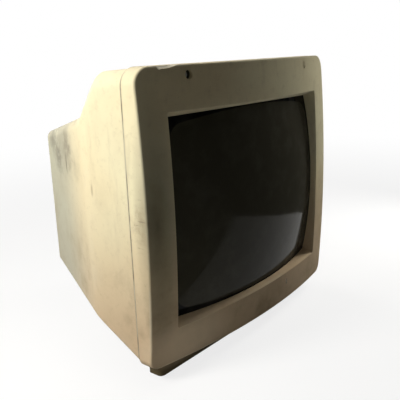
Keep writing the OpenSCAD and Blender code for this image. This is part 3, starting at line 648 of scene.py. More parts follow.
shape = add("GeometryNodeCurvePrimitiveQuadrilateral", Width=given["Width"], Height=given["Length"])
end_r = add("ShaderNodeMath", {"operation": "MULTIPLY"}, second=SLOT_ROUND, Value=given["Width"])
ends = add("GeometryNodeFilletCurve", {"mode": "POLY"}, Curve=shape, Count=4, Radius=end_r)
flat = add("GeometryNodeFillCurve", {"mode": "NGONS"}, Curve=ends)
risen = add("GeometryNodeExtrudeMesh", Mesh=flat, Offset_Scale=given["Depth"])
both = add("GeometryNodeJoinGeometry", Geometry=risen)
slots.links.new(add("GeometryNodeFlipFaces", Mesh=flat), both.node.inputs[0])
cutter = add("GeometryNodeMergeByDistance", Geometry=both, Distance=MERGE_WITHIN)
grid = add("GeometryNodeMeshGrid", Size_X=spread(given["Columns"], given["Pitch"]),
           Size_Y=spread(given["Rows"], given["Row Pitch"]),
           Vertices_X=given["Columns"], Vertices_Y=given["Rows"])
copies = add("GeometryNodeInstanceOnPoints", Points=grid, Instance=cutter)
placed = add("GeometryNodeTransform", Geometry=copies, Translation=given["Place"],
             Rotation=given["Turn"])
combed = add("GeometryNodeMeshBoolean", {"operation": "DIFFERENCE", "solver": "EXACT"})
slots.links.new(given["Geometry"], combed.node.inputs[0])
slots.links.new(add("GeometryNodeRealizeInstances", Geometry=placed), combed.node.inputs[1])
end(combed, given["Finish"])
print("slot tree nodes:", len(slots.nodes))

# %% Slots of the cover
def comb(obj, columns, rows, pitch, length, depth, place, row_pitch=0, turn=(0, 0, 0)):
    """Cuts a grid of slots; sizes in millimetres, the place is the middle of the grid's floor."""
    run_tree(obj, slots, Columns=columns, Rows=rows, Pitch=pitch / MM, Row_Pitch=row_pitch / MM,
             Width=SLOT_W / MM, Length=length / MM, Depth=depth / MM, Place=case(*place),
             Turn=[math.radians(a) for a in turn], Finish=case_finish)


before = len(cover.data.polygons)
floor_opening = block((-62, 36, -6), (124, 158, 72))
cut(cover, floor_opening)
comb(cover, columns=17, rows=2, pitch=9, row_pitch=58, length=48, depth=60,
     place=(0, DROP_Y + 61, 222))
comb(cover, columns=9, rows=1, pitch=8, length=62, depth=60, place=(0, POD_Y + 45, 190))
comb(cover, columns=7, rows=1, pitch=8, length=68, depth=24, place=(0, BACK_Y + 12, 150),
     turn=(90, 0, 0))
smooth(cover)
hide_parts("rear_cover")
print("cover faces:", before, "before the slots,", len(cover.data.polygons), "after")

# %% [markdown]
# ## Base
#
# The monitor stands on a shallow tub that is screwed under the case. Seen from above it is a wide
# wedge, with a bar at the front left that comes forward under the bezel, and a set-back front on
# the right that leaves room for a finger under the thumbwheels. The same ring method is used, now
# with the rings lying flat: each one is the plan outline with rounded corners, and the top ring
# follows the case above it.

# %% Plan of the base
BAR_LEFT, BAR_RIGHT, BAR_BACK, BAR_END_R = -165, -20, 18, 7.0
WEDGE_FRONT, WEDGE_REAR, WEDGE_WIDE, WEDGE_NARROW = 20, 205, 160, 84
CURVE_STEPS, EDGE_STEPS, STEP_ROOM = 5, 8, 3.5


def base_half(y):
    """Half the base's width at a depth."""
    return along(y, WEDGE_FRONT, WEDGE_REAR, WEDGE_WIDE, WEDGE_NARROW)


def base_plan(inset, corner):
    """The base's plan outline with rounded corners, softest at the bar's left end."""
    wide, narrow = WEDGE_WIDE - inset * 1.1, WEDGE_NARROW - inset * 1.1
    front, rear = WEDGE_FRONT + inset, WEDGE_REAR - inset
    left, right = BAR_LEFT + inset, BAR_RIGHT - inset
    rough = [(left, inset), (right, inset), (right, front), (wide, front), (narrow, rear),
             (-narrow, rear), (-wide, front), (left, BAR_BACK)]
    points = []
    for i, (x, y) in enumerate(rough):
        here, last, ahead = Vector((x, y)), Vector(rough[i - 1]), Vector(rough[(i + 1) % 8])
        into, out = (last - here).normalized(), (ahead - here).normalized()
        half = max(into.angle(out) / 2, 0.05)
        soft = max(corner, BAR_END_R - inset) if i == 0 else corner
        reach = min(soft / math.tan(half), 0.45 * (last - here).length,
                    0.45 * (ahead - here).length)
        start, stop = here + into * reach, here + out * reach
        for k in range(CURVE_STEPS + 1):
            f = k / CURVE_STEPS
            points.append(start.lerp(here, f).lerp(here.lerp(stop, f), f))
        room = BAR_END_R + 1 if i == 7 else min(STEP_ROOM, 0.5 * (ahead - here).length)
        run = (ahead - stop) * max(0.1, 1 - room / (ahead - stop).length)
        points += [stop + run * k / EDGE_STEPS for k in range(1, EDGE_STEPS)]
    return [(p[0], p[1]) for p in points]


print("points in the base's plan:", len(base_plan(0, 1)))

# %% Rings of the base
BASE_TOP_FRONT, UNDER_CASE, RIM_SOFT, FLOOR_SOFT = -0.3, 0.3, 0.4, 1.0
FLOOR_HUB = -60, 90


def lying(points, height):
    """A plan outline as a flat ring, at one height or at a height worked out from its depth."""
    return [(x, y, height(y) if callable(height) else height) for x, y in points]


def below_case(y):
    """Height of the base's top edge, just under the case."""
    return BASE_TOP_FRONT if y < COVER_Y else under(y) - UNDER_CASE


def base_rings():
    """From the floor's outside up the wall, over its top edge and down to the floor's inside."""
    rings = [lying(base_plan(1.2, 1.6), BASE_Z)]
    rings += [lying(base_plan(FLOOR_SOFT * (1 - s), 2.5), BASE_Z + FLOOR_SOFT * (1 - c))
              for s, c in arc(QUARTER)]
    rings += [lying(base_plan(inset, corner), lambda y, drop=drop: below_case(y) - drop)
              for inset, corner, drop in ((0, 2.5, RIM_SOFT), (0.3, 2.5, 0), (2.7, 1.2, 0),
                                          (WALL, 1, RIM_SOFT))]
    return rings + [lying(base_plan(WALL, 1), BASE_Z + WALL + 0.5),
                    lying(base_plan(3.5, 1), BASE_Z + WALL)]


base = thing("base", skin("base", base_rings(), hubs=[(*FLOOR_HUB, BASE_Z),
                                                      (*FLOOR_HUB, BASE_Z + WALL)]))
print("base rings:", len(base_rings()))

# %% Holes and posts of the base
INLET_X, VIDEO_X, SOCKET_Z = -48.0, 8.0, 12.0
KNOBS = (46.0, 60.0, 74.0)
REAR_FROM, REAR_TO = 200, 208
REAR_HOLES = [(INLET_X - 20, 1.7), (INLET_X + 20, 1.7), (VIDEO_X - 12.5, 1.9),
              (VIDEO_X + 12.5, 1.9)] + [(x, 3.0) for x in KNOBS]
POST_R, POST_BORE, POST_SCREW, WEB_THICK, WEB_DOWN = 7.2, 5.2, 2.2, 5, 6
POSTS = [(s * (base_half(y) - 9.5), y) for y in (48, 182) for s in (-1, 1)]


def socket_window(x, width, height, round_by):
    """A cutter for a socket's window in the base's rear wall."""
    return block((x - width / 2, REAR_FROM, SOCKET_Z - height / 2),
                 (width, REAR_TO - REAR_FROM, height), round_by, 1)


def post(x, y):
    """A hollow post that carries a screw up to the case, with a web for the screw's head."""
    low, web = BASE_Z + 1.2, under(y) - WEB_DOWN
    profile = [(POST_BORE, low), (POST_BORE, web), (POST_SCREW, web),
               (POST_SCREW, web + WEB_THICK), (POST_R, web + WEB_THICK), (POST_R, low)]
    return lathe(profile, (x, y, 0), "Z")


cut(base, socket_window(INLET_X, 27.6, 20.2, 1.5), socket_window(VIDEO_X, 19, 12, 1),
    *[rod(r, REAR_FROM, REAR_TO, (x, 0, SOCKET_Z), steps=28) for x, r in REAR_HOLES],
    *[rod(POST_BORE, -15, -9, (x, y, 0), "Z") for x, y in POSTS])
comb(base, columns=11, rows=2, pitch=9, row_pitch=48, length=36, depth=6,
     place=(0, 114, BASE_Z - 1.5))
joined(base, *[post(x, y) for x, y in POSTS])
smooth(base)
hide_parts("base_tub")
print("base faces:", len(base.data.polygons))

# %% [markdown]
# ## Picture tube face
#
# The glass face is part of a large ball, thick and very smooth, so its reflections show every flat
# facet. It is drawn as rings that grow from its middle to its rounded edge, each point set exactly
# on the ball, and the same is done on the inside.

# %% Picture tube face
FACE_SOFT, FACE_RINGS, FACE_MIDDLE, FLANGE = 2, 26, 0.004, 9


def face_outline(inset):
    """The tube face's outline, drawn in by an inset."""
    return outline(FACE_HALF - inset, TUBE_Z - FACE_HH + inset, TUBE_Z + FACE_HH - inset,
                   FACE_CORNER - inset, FACE_CORNER - inset)


def shrunk(points, share):
    """An outline drawn in towards the middle of the tube."""
    return [(x * share, TUBE_Z + (z - TUBE_Z) * share) for x, z in points]


def face_rings():
    """From the middle of the face over its edge to the rear rim, and back along the inside."""
    shares = [FACE_MIDDLE] + [k / FACE_RINGS for k in range(1, FACE_RINGS + 1)]
    rings = [at_depth(shrunk(face_outline(FACE_SOFT), share), glass) for share in shares]
    rings += [at_depth(face_outline(FACE_SOFT - FACE_SOFT * s),
                       behind(glass, FACE_SOFT * (1 - c))) for s, c in arc(QUARTER[1:])]
    rings += [at_depth(face_outline(inset), FACE_BACK) for inset in (0, FLANGE)]
    rings.append(at_depth(face_outline(12), behind(glass, FACE_THICK + 1)))
    return rings + [at_depth(shrunk(face_outline(40), share), behind(glass, FACE_THICK))
                    for share in (1, 0.75, 0.5, 0.25, FACE_MIDDLE)]


tube_face = thing("tube_face", skin("tube_face", face_rings()))
smooth(tube_face)
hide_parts("crt_faceplate")
print("tube face faces:", len(tube_face.data.polygons))

# %% [markdown]
# ## Thumbwheels, knobs and button
#
# Brightness and contrast are set by two ribbed wheels that reach through the bezel's underside,
# and three small ribbed knobs at the back set the picture's size and place. Ribs repeat round a
# circle, so a second tree copies one rib to each point of a circle, and they are joined to the
# turned body. The power button on the right side is a rounded block with a shallow hollow for the
# finger.

# %% Rib tree
ribs, given, add, end = new_tree("ribs", {"Count": "Int", "Radius": "Float", "Rib Size": "Vector",
                                          "Finish": "Material"})
circle = add("GeometryNodeMeshCircle", Vertices=given["Count"], Radius=given["Radius"])
heading = add("FunctionNodeAlignRotationToVector", {"axis": "X"},
              Vector=add("GeometryNodeInputPosition"))
one_rib = add("GeometryNodeMeshCube", Size=given["Rib Size"])
ring_of_ribs = add("GeometryNodeInstanceOnPoints", Points=circle, Instance=one_rib,
                   Rotation=heading)
end(ring_of_ribs, given["Finish"])
LIE_ALONG = {"X": Matrix.Rotation(math.radians(90), 4, "Y"),
             "Y": Matrix.Rotation(math.radians(-90), 4, "X")}


def ribbed(name, body, count, radius, size, place, axis, *cutters):
    """A turned body with ribs round it, after the cutters have been taken out of the body; sizes
    in millimetres, with the ribs' length along Z."""
    ring = thing(name + "_ribs", bpy.data.meshes.new(name + "_ribs"))
    run_tree(ring, ribs, Count=count, Radius=radius / MM, Rib_Size=[v / MM for v in size],
             Finish=control_finish)
    ring.data.transform(Matrix.Translation(case(*place)) @ LIE_ALONG[axis])
    rib_mesh = ring.data
    bpy.data.objects.remove(ring)
    return smooth(joined(cut(thing(name, body), *cutters), rib_mesh))


print("rib tree nodes:", len(ribs.nodes))

# %% Thumbwheels and knobs
WHEEL_Y, WHEEL_Z, WHEEL_RIBS = 4, 6.3, 36
WHEEL_PROFILE = [(0, -2.5), (9.3, -2.5), (9.8, -2.2), (10.1, -1.8), (10.1, 1.8), (9.8, 2.2),
                 (9.3, 2.5), (2, 2.5), (2, 10.5), (0, 10.5)]
KNOB_MIDDLE, KNOB_RIBS = 209, 18
KNOB_PROFILE = [(0, 193), (2, 193), (2, 205.8), (3.9, 205.8), (4.1, 206), (4.1, 212), (3.7, 212.5),
                (3.1, 212.8), (0, 212.8)]

for wheel_name, x in zip(("brightness_wheel", "contrast_wheel"), WHEELS):
    middle = x, WHEEL_Y, WHEEL_Z
    wheel = ribbed(wheel_name + "_ribbed", lathe(WHEEL_PROFILE, middle, "X", 72), WHEEL_RIBS,
                   10.05, (0.8, 0.75, 4.4), middle, "X")
    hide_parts(wheel_name)
    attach(wheel, wheel_name)
for knob_name, x in zip(("v_size_knob", "h_position_knob", "v_position_knob"), KNOBS):
    turning_slot = block((x - 0.6, 211.3, SOCKET_Z - 6), (1.2, 3, 12))
    knob = ribbed(knob_name + "_ribbed", lathe(KNOB_PROFILE, (x, 0, SOCKET_Z), "Y", 48), KNOB_RIBS,
                  4.1, (0.7, 0.5, 5.6), (x, KNOB_MIDDLE, SOCKET_Z), "Y", turning_slot)
    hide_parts(knob_name)
    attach(knob, knob_name)
print("ribs on a wheel:", WHEEL_RIBS, "on a knob:", KNOB_RIBS)

# %% Power button
BUTTON_FROM, BUTTON_STANDS_IN = 172, 0.4
HOLLOW_R, HOLLOW_DEEP, HOLLOW_STEPS = 4.2, 0.55, 6
STEM_R, STEM_FROM, STEM_TO = 2, 158, 173

button_low = BUTTON_FROM, BUTTON_Y - BUTTON_SIZE / 2, BUTTON_Z - BUTTON_SIZE / 2
button_reach = HALF_W - BUTTON_STANDS_IN - BUTTON_FROM
button = thing("power_button_cap", block(button_low, (button_reach, BUTTON_SIZE, BUTTON_SIZE), 0.9))
shares = [k / HOLLOW_STEPS for k in range(HOLLOW_STEPS + 1)]
thumb_hollow = [(HOLLOW_R * share, HOLLOW_DEEP * (share ** 2 - 1)) for share in shares]
thumb_hollow += [(HOLLOW_R, 1), (0, 1)]
cut(button, lathe(thumb_hollow, (HALF_W - BUTTON_STANDS_IN, BUTTON_Y, BUTTON_Z), "X", 48))
joined(button, rod(STEM_R, STEM_FROM, STEM_TO, (0, BUTTON_Y, BUTTON_Z), "X", 32))
smooth(button)
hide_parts("power_button")
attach(button, "power_button")
for moulding in (bezel, cover, base, tube_face):
    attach(moulding, "monitor")
print("button faces:", len(button.data.polygons))

# %% [markdown]
# ## Where marks show
#
# Some marks of wear are read off the photograph: scratches and a short streak on the side, and a
# dark smudge near the back. A ray from the camera through the mark's image point meets the
# finished mouldings, and the place it meets is where the finish puts the mark. The chip is part of
# the bezel's shape, so it was placed in millimetres when it was cut.

# %% Rays through image points
RAY_MARKS = ("side_scratch", "rear_smudge", "side_streak")
NEAREST_CM, FARTHEST_CM = 40, 140


def carrier_tree(*objs):
    """One search tree over the finished meshes."""
    verts, faces = [], []
    for obj in objs:
        start = len(verts)
        verts += [v.co.copy() for v in obj.data.vertices]
        faces += [[start + i for i in f.vertices] for f in obj.data.polygons]
    return BVHTree.FromPolygons(verts, faces)


def ray_of(x, y):
    """The direction in which an image point looks, in the frame's axes."""
    ahead = Vector((x - PHOTO / 2 + SHIFT_X * PHOTO, PHOTO / 2 - y + SHIFT_Y * PHOTO,
                    -PHOTO * CAMERA_LENS / SENSOR)).normalized()
    return ahead.x * CAM_X + ahead.y * CAM_Y + ahead.z * back


def on_surface(point, tree):
    """The place where an image point meets the model, or the one nearest to a ray that misses."""
    ray = ray_of(*point)
    hit = tree.ray_cast(CAMERA_PLACE, ray)[0]
    if hit is None:
        near_ray = [tree.find_nearest(CAMERA_PLACE + ray * d / 100)
                    for d in range(NEAREST_CM, FARTHEST_CM)]
        hit = min(near_ray, key=lambda found: found[3])[0]
    return hit


mouldings = carrier_tree(bezel, cover, base)
marks = {name: on_surface(POINTS[name], mouldings) for name in RAY_MARKS}
for name, place in marks.items():
    print(name, [round(v, 3) for v in place])

# %% [markdown]
# ## Finishes
#
# Every finish is a network of shader nodes. Written node by node it would be long and hard to
# read, so a small class wraps a socket: adding or multiplying two wires adds the Math node that
# does it. Only what really changes over a surface is a wire. Whatever is the same everywhere is a
# number on the shader itself.

# %% Shader expressions
class Wire:
    """A value that flows between shader nodes, with Python's own signs for its arithmetic."""

    def __init__(self, finish, socket):
        self.finish, self.socket = finish, socket

    def _math(self, operation, first, second, clamp=False):
        return self.finish.node("ShaderNodeMath", {"operation": operation, "use_clamp": clamp},
                                {0: first, 1: second})

    def __add__(self, other):
        return self._math("ADD", self, other)

    def __sub__(self, other):
        return self._math("SUBTRACT", self, other)

    def __rsub__(self, other):
        return self._math("SUBTRACT", other, self)

    def __mul__(self, other):
        return self._math("MULTIPLY", self, other)

    __radd__, __rmul__ = __add__, __mul__

    def clamped(self):
        return self._math("ADD", self, 0.0, True)

    def bigger(self, other):
        return self._math("MAXIMUM", self, other)

    def size(self):
        return self._math("ABSOLUTE", self, 0.0)

    def power(self, exponent):
        return self._math("POWER", self, exponent)

    def between(self, low, high):
        """0 below low, 1 above high, and a soft step from one to the other."""
        return self.finish.node("ShaderNodeMapRange", {"interpolation_type": "SMOOTHSTEP"},
                                {"Value": self, "From Min": low, "From Max": high})


print("a wire can be:", [name for name in vars(Wire) if not name.startswith("_")])

# %% Finishes made of wires
class Finish:
    """A material and the nodes that make it."""

    def __init__(self, name, **shader_values):
        self.material = bpy.data.materials.get(name) or bpy.data.materials.new(name)
        self.material.use_nodes = True
        self.tree = self.material.node_tree
        self.shader = self.tree.nodes["Principled BSDF"]
        self.coords = self.node("ShaderNodeTexCoord", output="Object")
        for label, value in shader_values.items():
            self.shader.inputs[label.replace("_", " ")].default_value = value

    def node(self, kind, settings=None, sockets=None, output=0):
        """Any node: its settings first, then the values or wires of its sockets."""
        made = self.tree.nodes.new(kind)
        for key, value in (settings or {}).items():
            setattr(made, key, value)
        for key, value in (sockets or {}).items():
            socket = made.inputs[key]
            if isinstance(value, Wire):
                self.tree.links.new(value.socket, socket)
            else:
                colour = socket.type == "RGBA" and len(value) == 3
                socket.default_value = (*value, 1) if colour else value
        return Wire(self, made.outputs[output])

    def moved(self, stretch, place=(0, 0, 0), turn=(0, 0, 0)):
        """Object coordinates measured from a place, stretched and turned."""
        from_place = self.node("ShaderNodeVectorMath", {"operation": "SUBTRACT"},
                               {0: self.coords, 1: tuple(place)})
        return self.node("ShaderNodeMapping", {"vector_type": "POINT"},
                         {"Vector": from_place, "Rotation": turn, "Scale": stretch})

    def noise(self, scale, detail, rough=0.5, coords=None):
        return self.node("ShaderNodeTexNoise", None, {"Vector": coords or self.coords,
                                                      "Scale": scale, "Detail": detail,
                                                      "Roughness": rough})

    def attribute(self, name):
        """A value kept on the mesh's own points."""
        return self.node("ShaderNodeAttribute", {"attribute_name": name}, output="Fac")

    def part(self, axis):
        """One of the three object coordinates, in metres."""
        return self.node("ShaderNodeSeparateXYZ", None, {0: self.coords}, output=axis)

    def mix(self, factor, first, second):
        """A colour that goes from the first to the second."""
        return self.node("ShaderNodeMix", {"data_type": "RGBA"},
                         {"Factor": factor, 6: first, 7: second}, output=2)

    def spot(self, place, reach, turn=(0, 0, 0)):
        """1 at a place, falling to 0 at a reach given along each of three axes."""
        local = self.moved([1 / r for r in reach], place, turn)
        far = self.node("ShaderNodeVectorMath", {"operation": "LENGTH"}, {0: local},
                        output="Value")
        return (1 - far).clamped()

    def feed(self, **wires):
        """Leads wires into the shader's sockets and gives the material back."""
        for label, wire in wires.items():
            self.tree.links.new(wire.socket, self.shader.inputs[label.replace("_", " ")])
        return self.material

    def bump(self, height, strength, distance):
        return self.node("ShaderNodeBump", None,
                         {"Height": height, "Strength": strength, "Distance": distance})


def dress(obj, finish):
    """Gives an object one finish."""
    obj.data.materials.clear()
    obj.data.materials.append(finish)


print("shader expressions are ready")

# %% [markdown]
# ## Aged case plastic
#
# The case is moulded in a cream plastic with a very fine etched grain. It has yellowed unevenly, it
# gets darker and browner towards the bottom, with patches of brown dirt, its edges are rubbed
# paler, and it carries scratches and smudges. Painted shade greys the back and darkens the seam's
# groove, the front's left edge, the band next to the floor (along with floor dirt) and the open
# screw recess. Painted light makes the front's lower left paler. Each of these is a mask made of
# noise at its own scale, laid over the cream one after the other. How far a corner is rubbed is
# worked out from the mesh and kept on its points, because it follows the mesh's own edges. The
# crisp rims of the slots and holes are left out, because hands don't reach them.

# %% Worn edges as an attribute
CUT_RIM, RUB_GAIN = 0.9, 1.6
CHIP_DEEP, CHIP_LOW, CHIP_BACK = 0.15, 8, 6


def in_chip(x, y, z):
    """Whether a place of the case lies on the chip's broken surface."""
    front = crown(x, CASE_H)
    inside = CHIP_FROM < x < CHIP_TO and min(CASE_H - z, y - front) > CHIP_DEEP
    return inside and z > CASE_H - CHIP_LOW and y < front + CHIP_BACK


def note_edges(obj):
    """Keeps on each point how sharply the surface turns outwards, and whether it is the chip's."""
    work = bmesh.new()
    work.from_mesh(obj.data)
    rubbed, broken = (work.verts.layers.float.new(name) for name in ("rubbed", "broken"))
    for v in work.verts:
        turn = max((e.calc_face_angle_signed(0.0) for e in v.link_edges), default=0.0)
        v[rubbed] = min(1.0, max(0.0, turn * RUB_GAIN)) if turn < CUT_RIM else 0.0
        v[broken] = float(in_chip(*in_case(v.co)))
    work.to_mesh(obj.data)
    work.free()


for moulding in (bezel, cover):
    note_edges(moulding)
print("points on the chip:", sum(in_chip(*in_case(v.co)) for v in bezel.data.vertices))

# %% Case plastic
CREAM, YELLOWED = (0.74, 0.69, 0.48), (0.72, 0.58, 0.36)
LOWER_BROWN, REAR_SHADE_GREY = (0.52, 0.37, 0.24), (0.40, 0.41, 0.34)
FLOOR_DIRT_AND_SHADE, FRESH = (0.17, 0.14, 0.085), (0.66, 0.62, 0.54)
GRIME, PALE, SOOT_AND_GROOVE_SHADE = (0.30, 0.23, 0.15), (0.86, 0.80, 0.62), (0.10, 0.09, 0.08)
LEFT_EDGE_SHADE, RECESS_SHADE, LOW_LEFT_LIGHT = (0.20, 0.18, 0.12), (0.045, 0.041, 0.033), (0.80, 0.66, 0.47)
SEAM_MIDDLE = (SEAM_Y + COVER_Y + SEAM_GAP) / 2


def aged(f, patches, stains, low):
    """The cream: yellowed, darker and browner towards the bottom, greyer towards the back as
    painted shade, and grimy.
    """
    clouds, specks = f.noise(6.0, 2.0), f.noise(420.0, 2.0)
    streaks = f.noise(60.0, 4.0, 0.62, f.moved((1, 1, 0.16)))
    dirt = (patches.between(0.40, 0.8) * (low * 0.6 + 0.14)).clamped()
    colour = f.mix(clouds.between(0.35, 0.7) * 0.5, CREAM, YELLOWED)
    # Towards the bottom the cream gets darker and browner. Towards the back it greys, as painted
    # shade where the side turns from the light.
    for share, tint in ((low * 0.83, LOWER_BROWN), (f.part("Y").between(-0.075, 0.03) * 0.74, REAR_SHADE_GREY),
                        (dirt, GRIME), (streaks.between(0.55, 0.80) * 0.22, GRIME),
                        (specks.between(0.70, 0.77) * 0.38, GRIME),
                        (stains.between(0.50, 0.74) * 0.18, GRIME)):
        colour = f.mix(share, colour, tint)
    return colour, dirt


def seam_dirt_and_shade(f, colour):
    """A soft brown band of dirt along the seam, and painted shade in its groove that darkens the
    rounded edges on both sides.
    """
    from_seam = (f.part("Y") - case(0, SEAM_MIDDLE, 0).y).size()
    colour = f.mix((1 - from_seam.between(0.0004, 0.0026)) * 0.45, colour, GRIME)
    # The narrow dark band is painted shade of the groove between bezel and cover.
    return f.mix((1 - from_seam.between(0.0007, 0.0014)) * 0.94, colour, SOOT_AND_GROOVE_SHADE)


def smudges(f, patches, stains):
    """The dark smudge near the back with a nick, two behind it, and spots along the roof's edge."""
    place = marks["rear_smudge"]
    smudge = f.spot(place, (0.05, 0.045, 0.05)) * patches.between(0.34, 0.62)
    for y, z in ((0.058, 0.002), (0.040, -0.014)):
        behind_it = f.spot(place + Vector((0, y, z)), (0.06, 0.024, 0.030))
        smudge = smudge.bigger(behind_it * stains.between(0.30, 0.56))
    for y in (105, 140, 175, 208):
        roof_edge = f.spot(case(-flank(y), y, section(BODY, y)[2]), (0.022, 0.03, 0.011))
        smudge = smudge.bigger(roof_edge * stains.between(0.38, 0.62) * 0.9)
    nick = f.spot(place + Vector((0, 0.012, -0.018)), (0.02, 0.0032, 0.022))
    return (smudge * 0.75).bigger(nick.between(0.1, 0.6) * 0.7)


print("the middle of the seam lies", round(SEAM_MIDDLE, 2), "mm behind the case's front")

# %% Marks of wear and the finished plastic
SCRATCHES = [(0.0, 0.0, 0.009, 0.1), (0.003, -0.0045, 0.006, -0.25),
             (0.002, -0.028, 0.006, 0.45), (0.0, 0.022, 0.004, 0.2)]
SCRATCH_DEEP, SCRATCH_HIGH = 0.02, 0.0009
RECESS_SHADE_REACH = RECESS_R / 700


def front_shade_and_light(f, colour, patches):
    """The front's left edge darkened as painted shade, and the bezel's lower left corner made paler
    as painted light.
    """
    # Painted shade: the front's left edge is darkened.
    left_edge_shade = f.spot(case(-HALF_W + 13, -9, 155), (0.032, 0.022, 0.145)) * (patches * 0.8 + 0.6)
    colour = f.mix((left_edge_shade * 0.95).clamped(), colour, LEFT_EDGE_SHADE)
    # Painted light: the front's lower left corner is made paler and warmer, as light thrown up from
    # the table.
    low_left_light = f.spot(case(-128, -10, 20), (0.075, 0.040, 0.032)) * 1.5
    return f.mix(low_left_light.clamped() * 0.7, colour, LOW_LEFT_LIGHT)


def side_marks(f, colour, patches, stains):
    """A scuff with four scratches, a streak and the smudges. Each scratch is a place from the
    scuff (y and z), a reach and a turn."""
    scuffed = marks["side_scratch"]
    scuff = f.spot(scuffed + Vector((0, 0.001, -0.004)), (0.02, 0.013, 0.030))
    colour = f.mix(scuff * stains.between(0.36, 0.62) * 0.5, colour, GRIME)
    dark = smudges(f, patches, stains)
    for y, z, reach, turn in SCRATCHES:
        scratch = f.spot(scuffed + Vector((0, y, z)), (SCRATCH_DEEP, reach, SCRATCH_HIGH),
                         (turn, 0, 0)).between(0.0, 0.6)
        dark = dark.bigger(scratch * stains.between(0.40, 0.56) * 0.36)
    streak = f.spot(marks["side_streak"], (0.02, 0.0022, 0.009)).between(0.0, 0.7)
    return f.mix(dark, f.mix(streak * 0.5, colour, GRIME), SOOT_AND_GROOVE_SHADE)


def case_plastic(name, low_dark_top, low_dark_share, low_dirt_and_shade):
    """The aged plastic, darker from the floor up to a height in metres, as floor dirt together with
    painted shade of the low band.
    """
    f = Finish(name, Roughness=0.5, Specular_IOR_Level=0.04)
    patches, stains, height = f.noise(20.0, 6.0, 0.62), f.noise(95.0, 5.0, 0.7), f.part("Z")
    colour, dirt = aged(f, patches, stains, 1 - height.between(0.02, 0.23))
    colour = seam_dirt_and_shade(f, colour)
    # Floor dirt and painted shade together darken the low band next to the floor.
    from_floor = 1 - (height + patches * 0.012).between(0.012, low_dark_top)
    colour = f.mix(from_floor * low_dark_share, colour, low_dirt_and_shade)
    colour = f.mix(f.attribute("rubbed") * patches.between(0.36, 0.6) * 0.55, colour, PALE)
    colour = side_marks(f, front_shade_and_light(f, colour, patches), patches, stains)
    chip = f.attribute("broken").between(0.05, 0.3)
    colour = f.mix(chip, colour, f.mix(patches, FRESH, PALE))
    # Painted shade: the inside of the open screw recess on the left is darkened.
    recess_shade = f.spot(case(-SCREW_X, -3, SCREW_Z), (RECESS_SHADE_REACH, 0.009, RECESS_SHADE_REACH))
    colour = f.mix(recess_shade.between(0.0, 0.12) * 0.96, colour, RECESS_SHADE)
    grain = f.noise(2600.0, 1.0) * 0.6 + f.noise(900.0, 1.0) * 0.4 + chip * f.noise(300.0, 3.0) * 6
    return f.feed(Base_Color=colour, Roughness=0.46 + patches * 0.14 + dirt * 0.2,
                  Normal=f.bump(grain, 0.35, 0.00012))


CASE = case_plastic("case_plastic", 0.032, 0.85, FLOOR_DIRT_AND_SHADE)
BASE_CASE = case_plastic("base_plastic", 0.055, 0.95, (0.078, 0.062, 0.031))
print("case plastic nodes:", len(CASE.node_tree.nodes))

# %% [markdown]
# ## Tube glass
#
# A picture tube that is switched off is a very dark grey. The phosphor ends short of the glass's
# edge, and the border round it is black. The glass in front is smooth, so most of what one sees on
# it is the surroundings. The border is a rounded rectangle with bowed sides, worked out from the
# distance to a smaller rectangle.

# %% Tube glass
TUBE_MIDDLE = case(0, 0, TUBE_Z).z
PHOSPHOR_X, PHOSPHOR_Z, BOW_X, BOW_Z = 0.128, 0.096, 0.9, 0.6
BORDER_FROM, BORDER_FULL = 0.0125, 0.0145
PHOSPHOR_DARK, PHOSPHOR_PALE = (0.048, 0.045, 0.032), (0.058, 0.055, 0.041)
BORDER_BLACK, DUST = (0.006, 0.006, 0.006), (0.20, 0.19, 0.17)


def tube_glass():
    f = Finish("tube_glass", Roughness=0.09, Specular_IOR_Level=0.038)
    across, up = f.part("X").size(), (f.part("Z") - TUBE_MIDDLE).size()
    beyond_x = (across + up * up * BOW_X - PHOSPHOR_X).bigger(0.0)
    beyond_z = (up + across * across * BOW_Z - PHOSPHOR_Z).bigger(0.0)
    edge = (beyond_x * beyond_x + beyond_z * beyond_z).power(0.5)
    dust = f.noise(35.0, 4.0, 0.6).between(0.42, 0.75)
    stripes = f.noise(1500.0, 1.0, 0.5, f.moved((1, 1, 0.05)))
    phosphor = f.mix(stripes, PHOSPHOR_DARK, PHOSPHOR_PALE)
    tube = f.mix(edge.between(BORDER_FROM, BORDER_FULL), phosphor, BORDER_BLACK)
    return f.feed(Base_Color=f.mix(dust * 0.10, tube, DUST), Roughness=0.08 + dust * 0.10)


GLASS = tube_glass()
print("glass nodes:", len(GLASS.node_tree.nodes))

# %% [markdown]
# ## The other finishes
#
# The pieces inside and the small fittings fall into a few families: moulded plastic, plated or
# bare metal, rubber, windings and circuit board. Each family is one function with its own grain,
# and a table gives every solid its finish.

# %% Families of finishes
def shaded(colour, share):
    """A colour made darker or brighter."""
    return tuple(min(1, c * share) for c in colour)


def moulded(name, colour, rough=0.45):
    f = Finish(name, Roughness=rough, Specular_IOR_Level=0.2)
    mottle = f.noise(40.0, 3.0)
    tint = f.mix(mottle, shaded(colour, 0.82), shaded(colour, 1.12))
    return f.feed(Base_Color=tint, Roughness=rough - 0.06 + mottle * 0.12,
                  Normal=f.bump(f.noise(900.0, 2.0), 0.2, 0.0001))


def metal(name, colour, rough=0.3):
    f = Finish(name, Metallic=1.0, Roughness=rough)
    lines = f.noise(700.0, 2.0, 0.5, f.moved((1, 1, 0.06)))
    stain = f.noise(45.0, 4.0).between(0.5, 0.8)
    return f.feed(Base_Color=f.mix(stain * 0.5, colour, shaded(colour, 0.6)),
                  Roughness=rough + lines * 0.15 + stain * 0.15,
                  Normal=f.bump(lines, 0.15, 0.00005))


